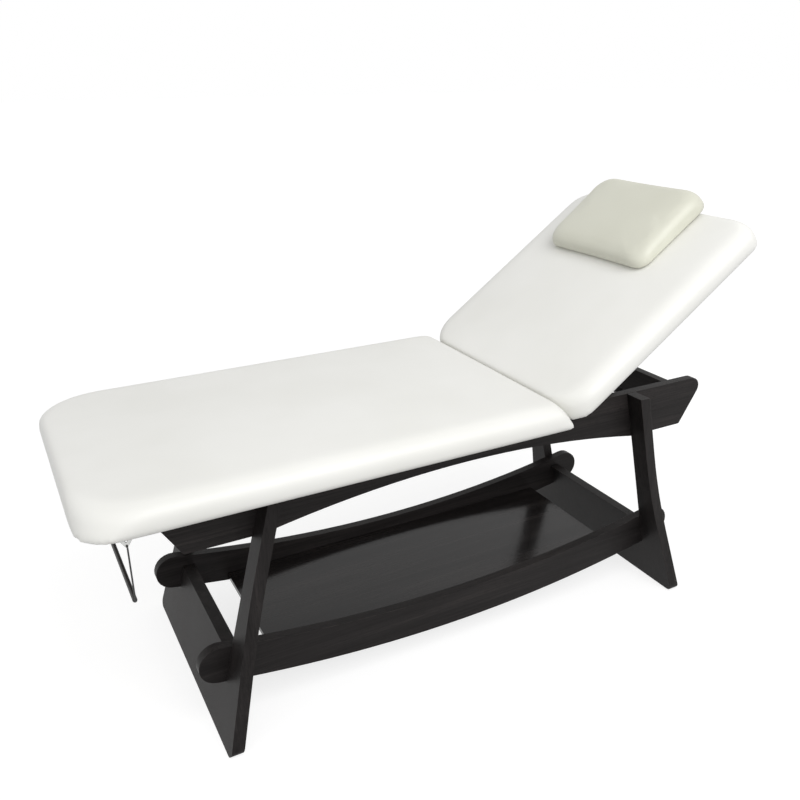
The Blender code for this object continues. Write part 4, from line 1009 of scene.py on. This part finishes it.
pillow_mesh = stuffed(
    "pillow_cover", pillow_slab, PILLOW_VOXEL, PILLOW_SWELL, PILLOW_HELD_BELOW
)
places = points_of(pillow_mesh)
middle_x = (PILLOW_LOW + PILLOW_HIGH) / 2
along = (places[:, 0] - middle_x) / (PILLOW_HIGH - PILLOW_LOW) * 2
across = places[:, 1] / PILLOW_WIDTH * 2
places[:, 1] -= PILLOW_DRAWN_IN * across * np.cos(np.clip(along, -1.0, 1.0) * QUARTER)
places[:, 0] -= PILLOW_DRAWN_IN * along * np.cos(np.clip(across, -1.0, 1.0) * QUARTER)
places[:, 2] *= 1.0 + PILLOW_WEDGE * along
pillow_mesh.vertices.foreach_set("co", places.ravel())
pillow_mesh.transform(pillow_place)
pillow_cover = new_piece("pillow_cover", pillow_mesh, ivory_vinyl, "pillow")
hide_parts("pillow")


# Prop. Two flat steel arms join a rod, which turns in the blocks under the back board, to the
# foot bar that rests in the racks. All of it is powder coated black, and the rod has push-on caps.

COAT_BLACK = (0.0130, 0.0130, 0.0135, 1.0)
COAT_GREY = (0.0280, 0.0280, 0.0285, 1.0)


def powder_coat(name):
    """Black powder coat: an even colour with faint clouds, and the fine skin of an orange."""
    made, tree, shader = new_material(name)
    place = object_place(tree)
    clouds = noise(tree, place, 60.0, 3.0)
    tone = coloured(tree, clouds, [(0.40, COAT_BLACK), (0.75, COAT_GREY)])
    skin = noise(tree, place, 1400.0, 1.0)
    surface(tree, shader, tone, ranged(tree, clouds, 0.34, 0.50), skin, 0.25, 0.0001)
    return made


def bar_across(node_name, suffix, profile, body):
    """A round bar along Y in a CAD node's place, from (radius, distance from its end) pairs."""
    low, high = (Vector(corner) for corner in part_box(node_name))
    half = (high.y - low.y) / 2
    rings = [(radius, inset - half) for radius, inset in profile]
    rings += [(radius, half - inset) for radius, inset in reversed(profile)]
    shape = lofted([level_circle(radius, z, BAR_SIDES) for radius, z in rings])
    bmesh.ops.transform(shape, matrix=Matrix.Rotation(QUARTER, 4, "X"), verts=shape.verts)
    bmesh.ops.translate(shape, vec=(low + high) / 2, verts=shape.verts)
    mesh = finished_mesh(node_name + suffix, shape)
    bar = new_piece(node_name + suffix, mesh, black_coat, body)
    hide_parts(node_name)


BAR_SIDES = 32
ARM_EDGE = 0.0006
ROD_PROFILE = (
    (0.0030, -0.0008), (0.0052, -0.0004), (0.0064, 0.0004), (0.0066, 0.0011), (0.0066, 0.0020),
    (0.0060, 0.0025), (0.0049, 0.0026), (0.0049, 0.0100),
)
FOOT_BAR_PROFILE = (
    (0.0024, 0.0), (0.0044, 0.0004), (0.0056, 0.0013), (0.0059, 0.0026), (0.0059, 0.0120),
)
black_coat = powder_coat("black_powder_coat")
for node_name in ("prop_arm_left", "prop_arm_right"):
    eased_part(node_name, ARM_EDGE, black_coat, "prop", "_flat")
bar_across("prop_pivot_rod", "_capped", ROD_PROFILE, "prop")
bar_across("prop_foot_bar", "_rounded", FOOT_BAR_PROFILE, "prop")


# Roll holder. Two thin black wire arms hang from bent steel straps under the foot end and
# carry a light bar for a paper roll. The bar's ends are closed by plugs that take the wires.

BRACKET_EDGE = 0.0005
WIRE_RADIUS = 0.00175
WIRE_BEND = 0.0055
BEND_PARTS = 8
WIRE_SIDES = 14
ROLL_SIDE = 0.320
ROLL_REACH_IN = 0.0100
for node_name in ("roll_bracket_left", "roll_bracket_right"):
    eased_part(node_name, BRACKET_EDGE, bright_zinc, "frame", "_strap")

wire_tree, given, result = new_tree("bent_wire", (
    ("Radius", "Float"), ("Bend", "Float"), ("Sides", "Int"), ("Metal", "Material"),
))
route = add_node(wire_tree, "GeometryNodeMeshToCurve", {"Mesh": given["Geometry"]})
bent = add_node(wire_tree, "GeometryNodeFilletCurve", {
    "Curve": route.outputs["Curve"], "Count": BEND_PARTS, "Radius": given["Bend"],
}, mode="POLY")
section = add_node(wire_tree, "GeometryNodeCurvePrimitiveCircle", {
    "Resolution": given["Sides"], "Radius": given["Radius"],
})
swept = add_node(wire_tree, "GeometryNodeCurveToMesh", {
    "Curve": bent.outputs["Curve"], "Profile Curve": section.outputs["Curve"], "Fill Caps": True,
})
realized(wire_tree, swept.outputs["Mesh"], given["Metal"], result)

low, high = (Vector(corner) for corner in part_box("roll_tube"))
roll_x, roll_z = (low.x + high.x) / 2, (low.z + high.z) / 2
hang_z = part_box("roll_arm_left")[1][2] - WIRE_RADIUS
for side_name, side in (("left", -1.0), ("right", 1.0)):
    outer, inner = side * ROLL_SIDE, side * (ROLL_SIDE - ROLL_REACH_IN)
    mesh = bpy.data.meshes.new("roll_wire")
    mesh.from_pydata(
        [(roll_x, inner, hang_z), (roll_x, outer, hang_z), (roll_x, outer, roll_z),
         (roll_x, inner, roll_z)],
        [(0, 1), (1, 2), (2, 3)], [],
    )
    whole = grown(mesh, wire_tree, {
        "Radius": WIRE_RADIUS, "Bend": WIRE_BEND, "Sides": WIRE_SIDES, "Metal": black_coat,
    })
    smoothed(whole, 50.0)
    node_name = "roll_arm_" + side_name
    wire = new_piece(node_name + "_wire", whole, black_coat, "roll_holder")
    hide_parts(node_name)
ROLL_PROFILE = (
    (0.0022, 0.0004), (0.0030, 0.0), (0.0038, 0.0003), (0.0042, 0.0012), (0.0042, 0.0030),
    (0.0046, 0.0031), (0.0049, 0.0036), (0.0049, 0.0200),
)
bar_across("roll_tube", "_bar", ROLL_PROFILE, "roll_bar")


# Room. A pale floor that keeps the bed's shadow in a white surrounding. The light is broad
# and soft, strongest from beside the camera, so the pads' near edges are the brightest.

FLOOR_REACH = 40.0
FLOOR_LIFT = 0.75
ROOM_LIGHT = 0.50
FLOOR_GREY = (0.40, 0.40, 0.40, 1.0)
WHITE = (1.0, 1.0, 1.0, 1.0)
floor_mesh = bpy.data.meshes.new("floor")
floor_mesh.from_pydata(
    [(-FLOOR_REACH, -FLOOR_REACH, 0.0), (FLOOR_REACH, -FLOOR_REACH, 0.0),
     (FLOOR_REACH, FLOOR_REACH, 0.0), (-FLOOR_REACH, FLOOR_REACH, 0.0)],
    [], [(0, 1, 2, 3)],
)
floor = bpy.data.objects.new("floor", floor_mesh)
bpy.context.collection.objects.link(floor)


def seen_directly(tree):
    """One for rays from the camera, from a mirror or through glass, and else zero."""
    path = add_node(tree, "ShaderNodeLightPath").outputs
    either = worked_out(tree, "MAXIMUM", path["Is Camera Ray"], path["Is Glossy Ray"])
    return worked_out(tree, "MAXIMUM", either, path["Is Transmission Ray"])


floor_paint, floor_tree, floor_shader = new_material("floor_white")
floor_lift = worked_out(floor_tree, "MULTIPLY", seen_directly(floor_tree), FLOOR_LIFT)
for name, value in (
    ("Base Color", FLOOR_GREY), ("Roughness", 0.9), ("Specular IOR Level", 0.1),
    ("Emission Color", WHITE), ("Emission Strength", floor_lift),
):
    plug(floor_tree, value, floor_shader.inputs[name])
floor_mesh.materials.append(floor_paint)

room = bpy.data.worlds.new("room")
bpy.context.scene.world = room
room.use_nodes = True
room_tree = room.node_tree
air = room_tree.nodes["Background"]
air_level = ranged(room_tree, seen_directly(room_tree), ROOM_LIGHT, 1.0)
room_tree.links.new(air_level, air.inputs["Strength"])
air.inputs["Color"].default_value = WHITE


SUN_BESIDE_CAMERA = ((0.10, 1.0, -0.40), 0.90, 50.0)
SUN_FOOT_END = ((1.0, 0.35, -0.80), 0.32, 60.0)
PANEL_AT = (0.16, -2.0, 3.0)
PANEL_TOWARDS = (-0.10, 2.0, -2.4)
PANEL_SIZE = 2.0
PANEL_ENERGY = 41.0


def lamp(name, kind, energy, towards):
    """A lamp that shines in a direction, and its settings."""
    data = bpy.data.lights.new(name, kind)
    data.energy = energy
    made = bpy.data.objects.new(name, data)
    bpy.context.collection.objects.link(made)
    made.rotation_euler = Vector(towards).to_track_quat("-Z", "Y").to_euler()
    return made, data


for name, (towards, strength, spread) in (
    ("light_beside_camera", SUN_BESIDE_CAMERA), ("light_foot_end", SUN_FOOT_END),
):
    _, sun = lamp(name, "SUN", strength, towards)
    sun.angle = math.radians(spread)
panel_lamp, panel = lamp("light_over_near_side", "AREA", PANEL_ENERGY, PANEL_TOWARDS)
panel_lamp.location = PANEL_AT
panel.shape = "SQUARE"
panel.size = PANEL_SIZE

bpy.context.view_layer.update()
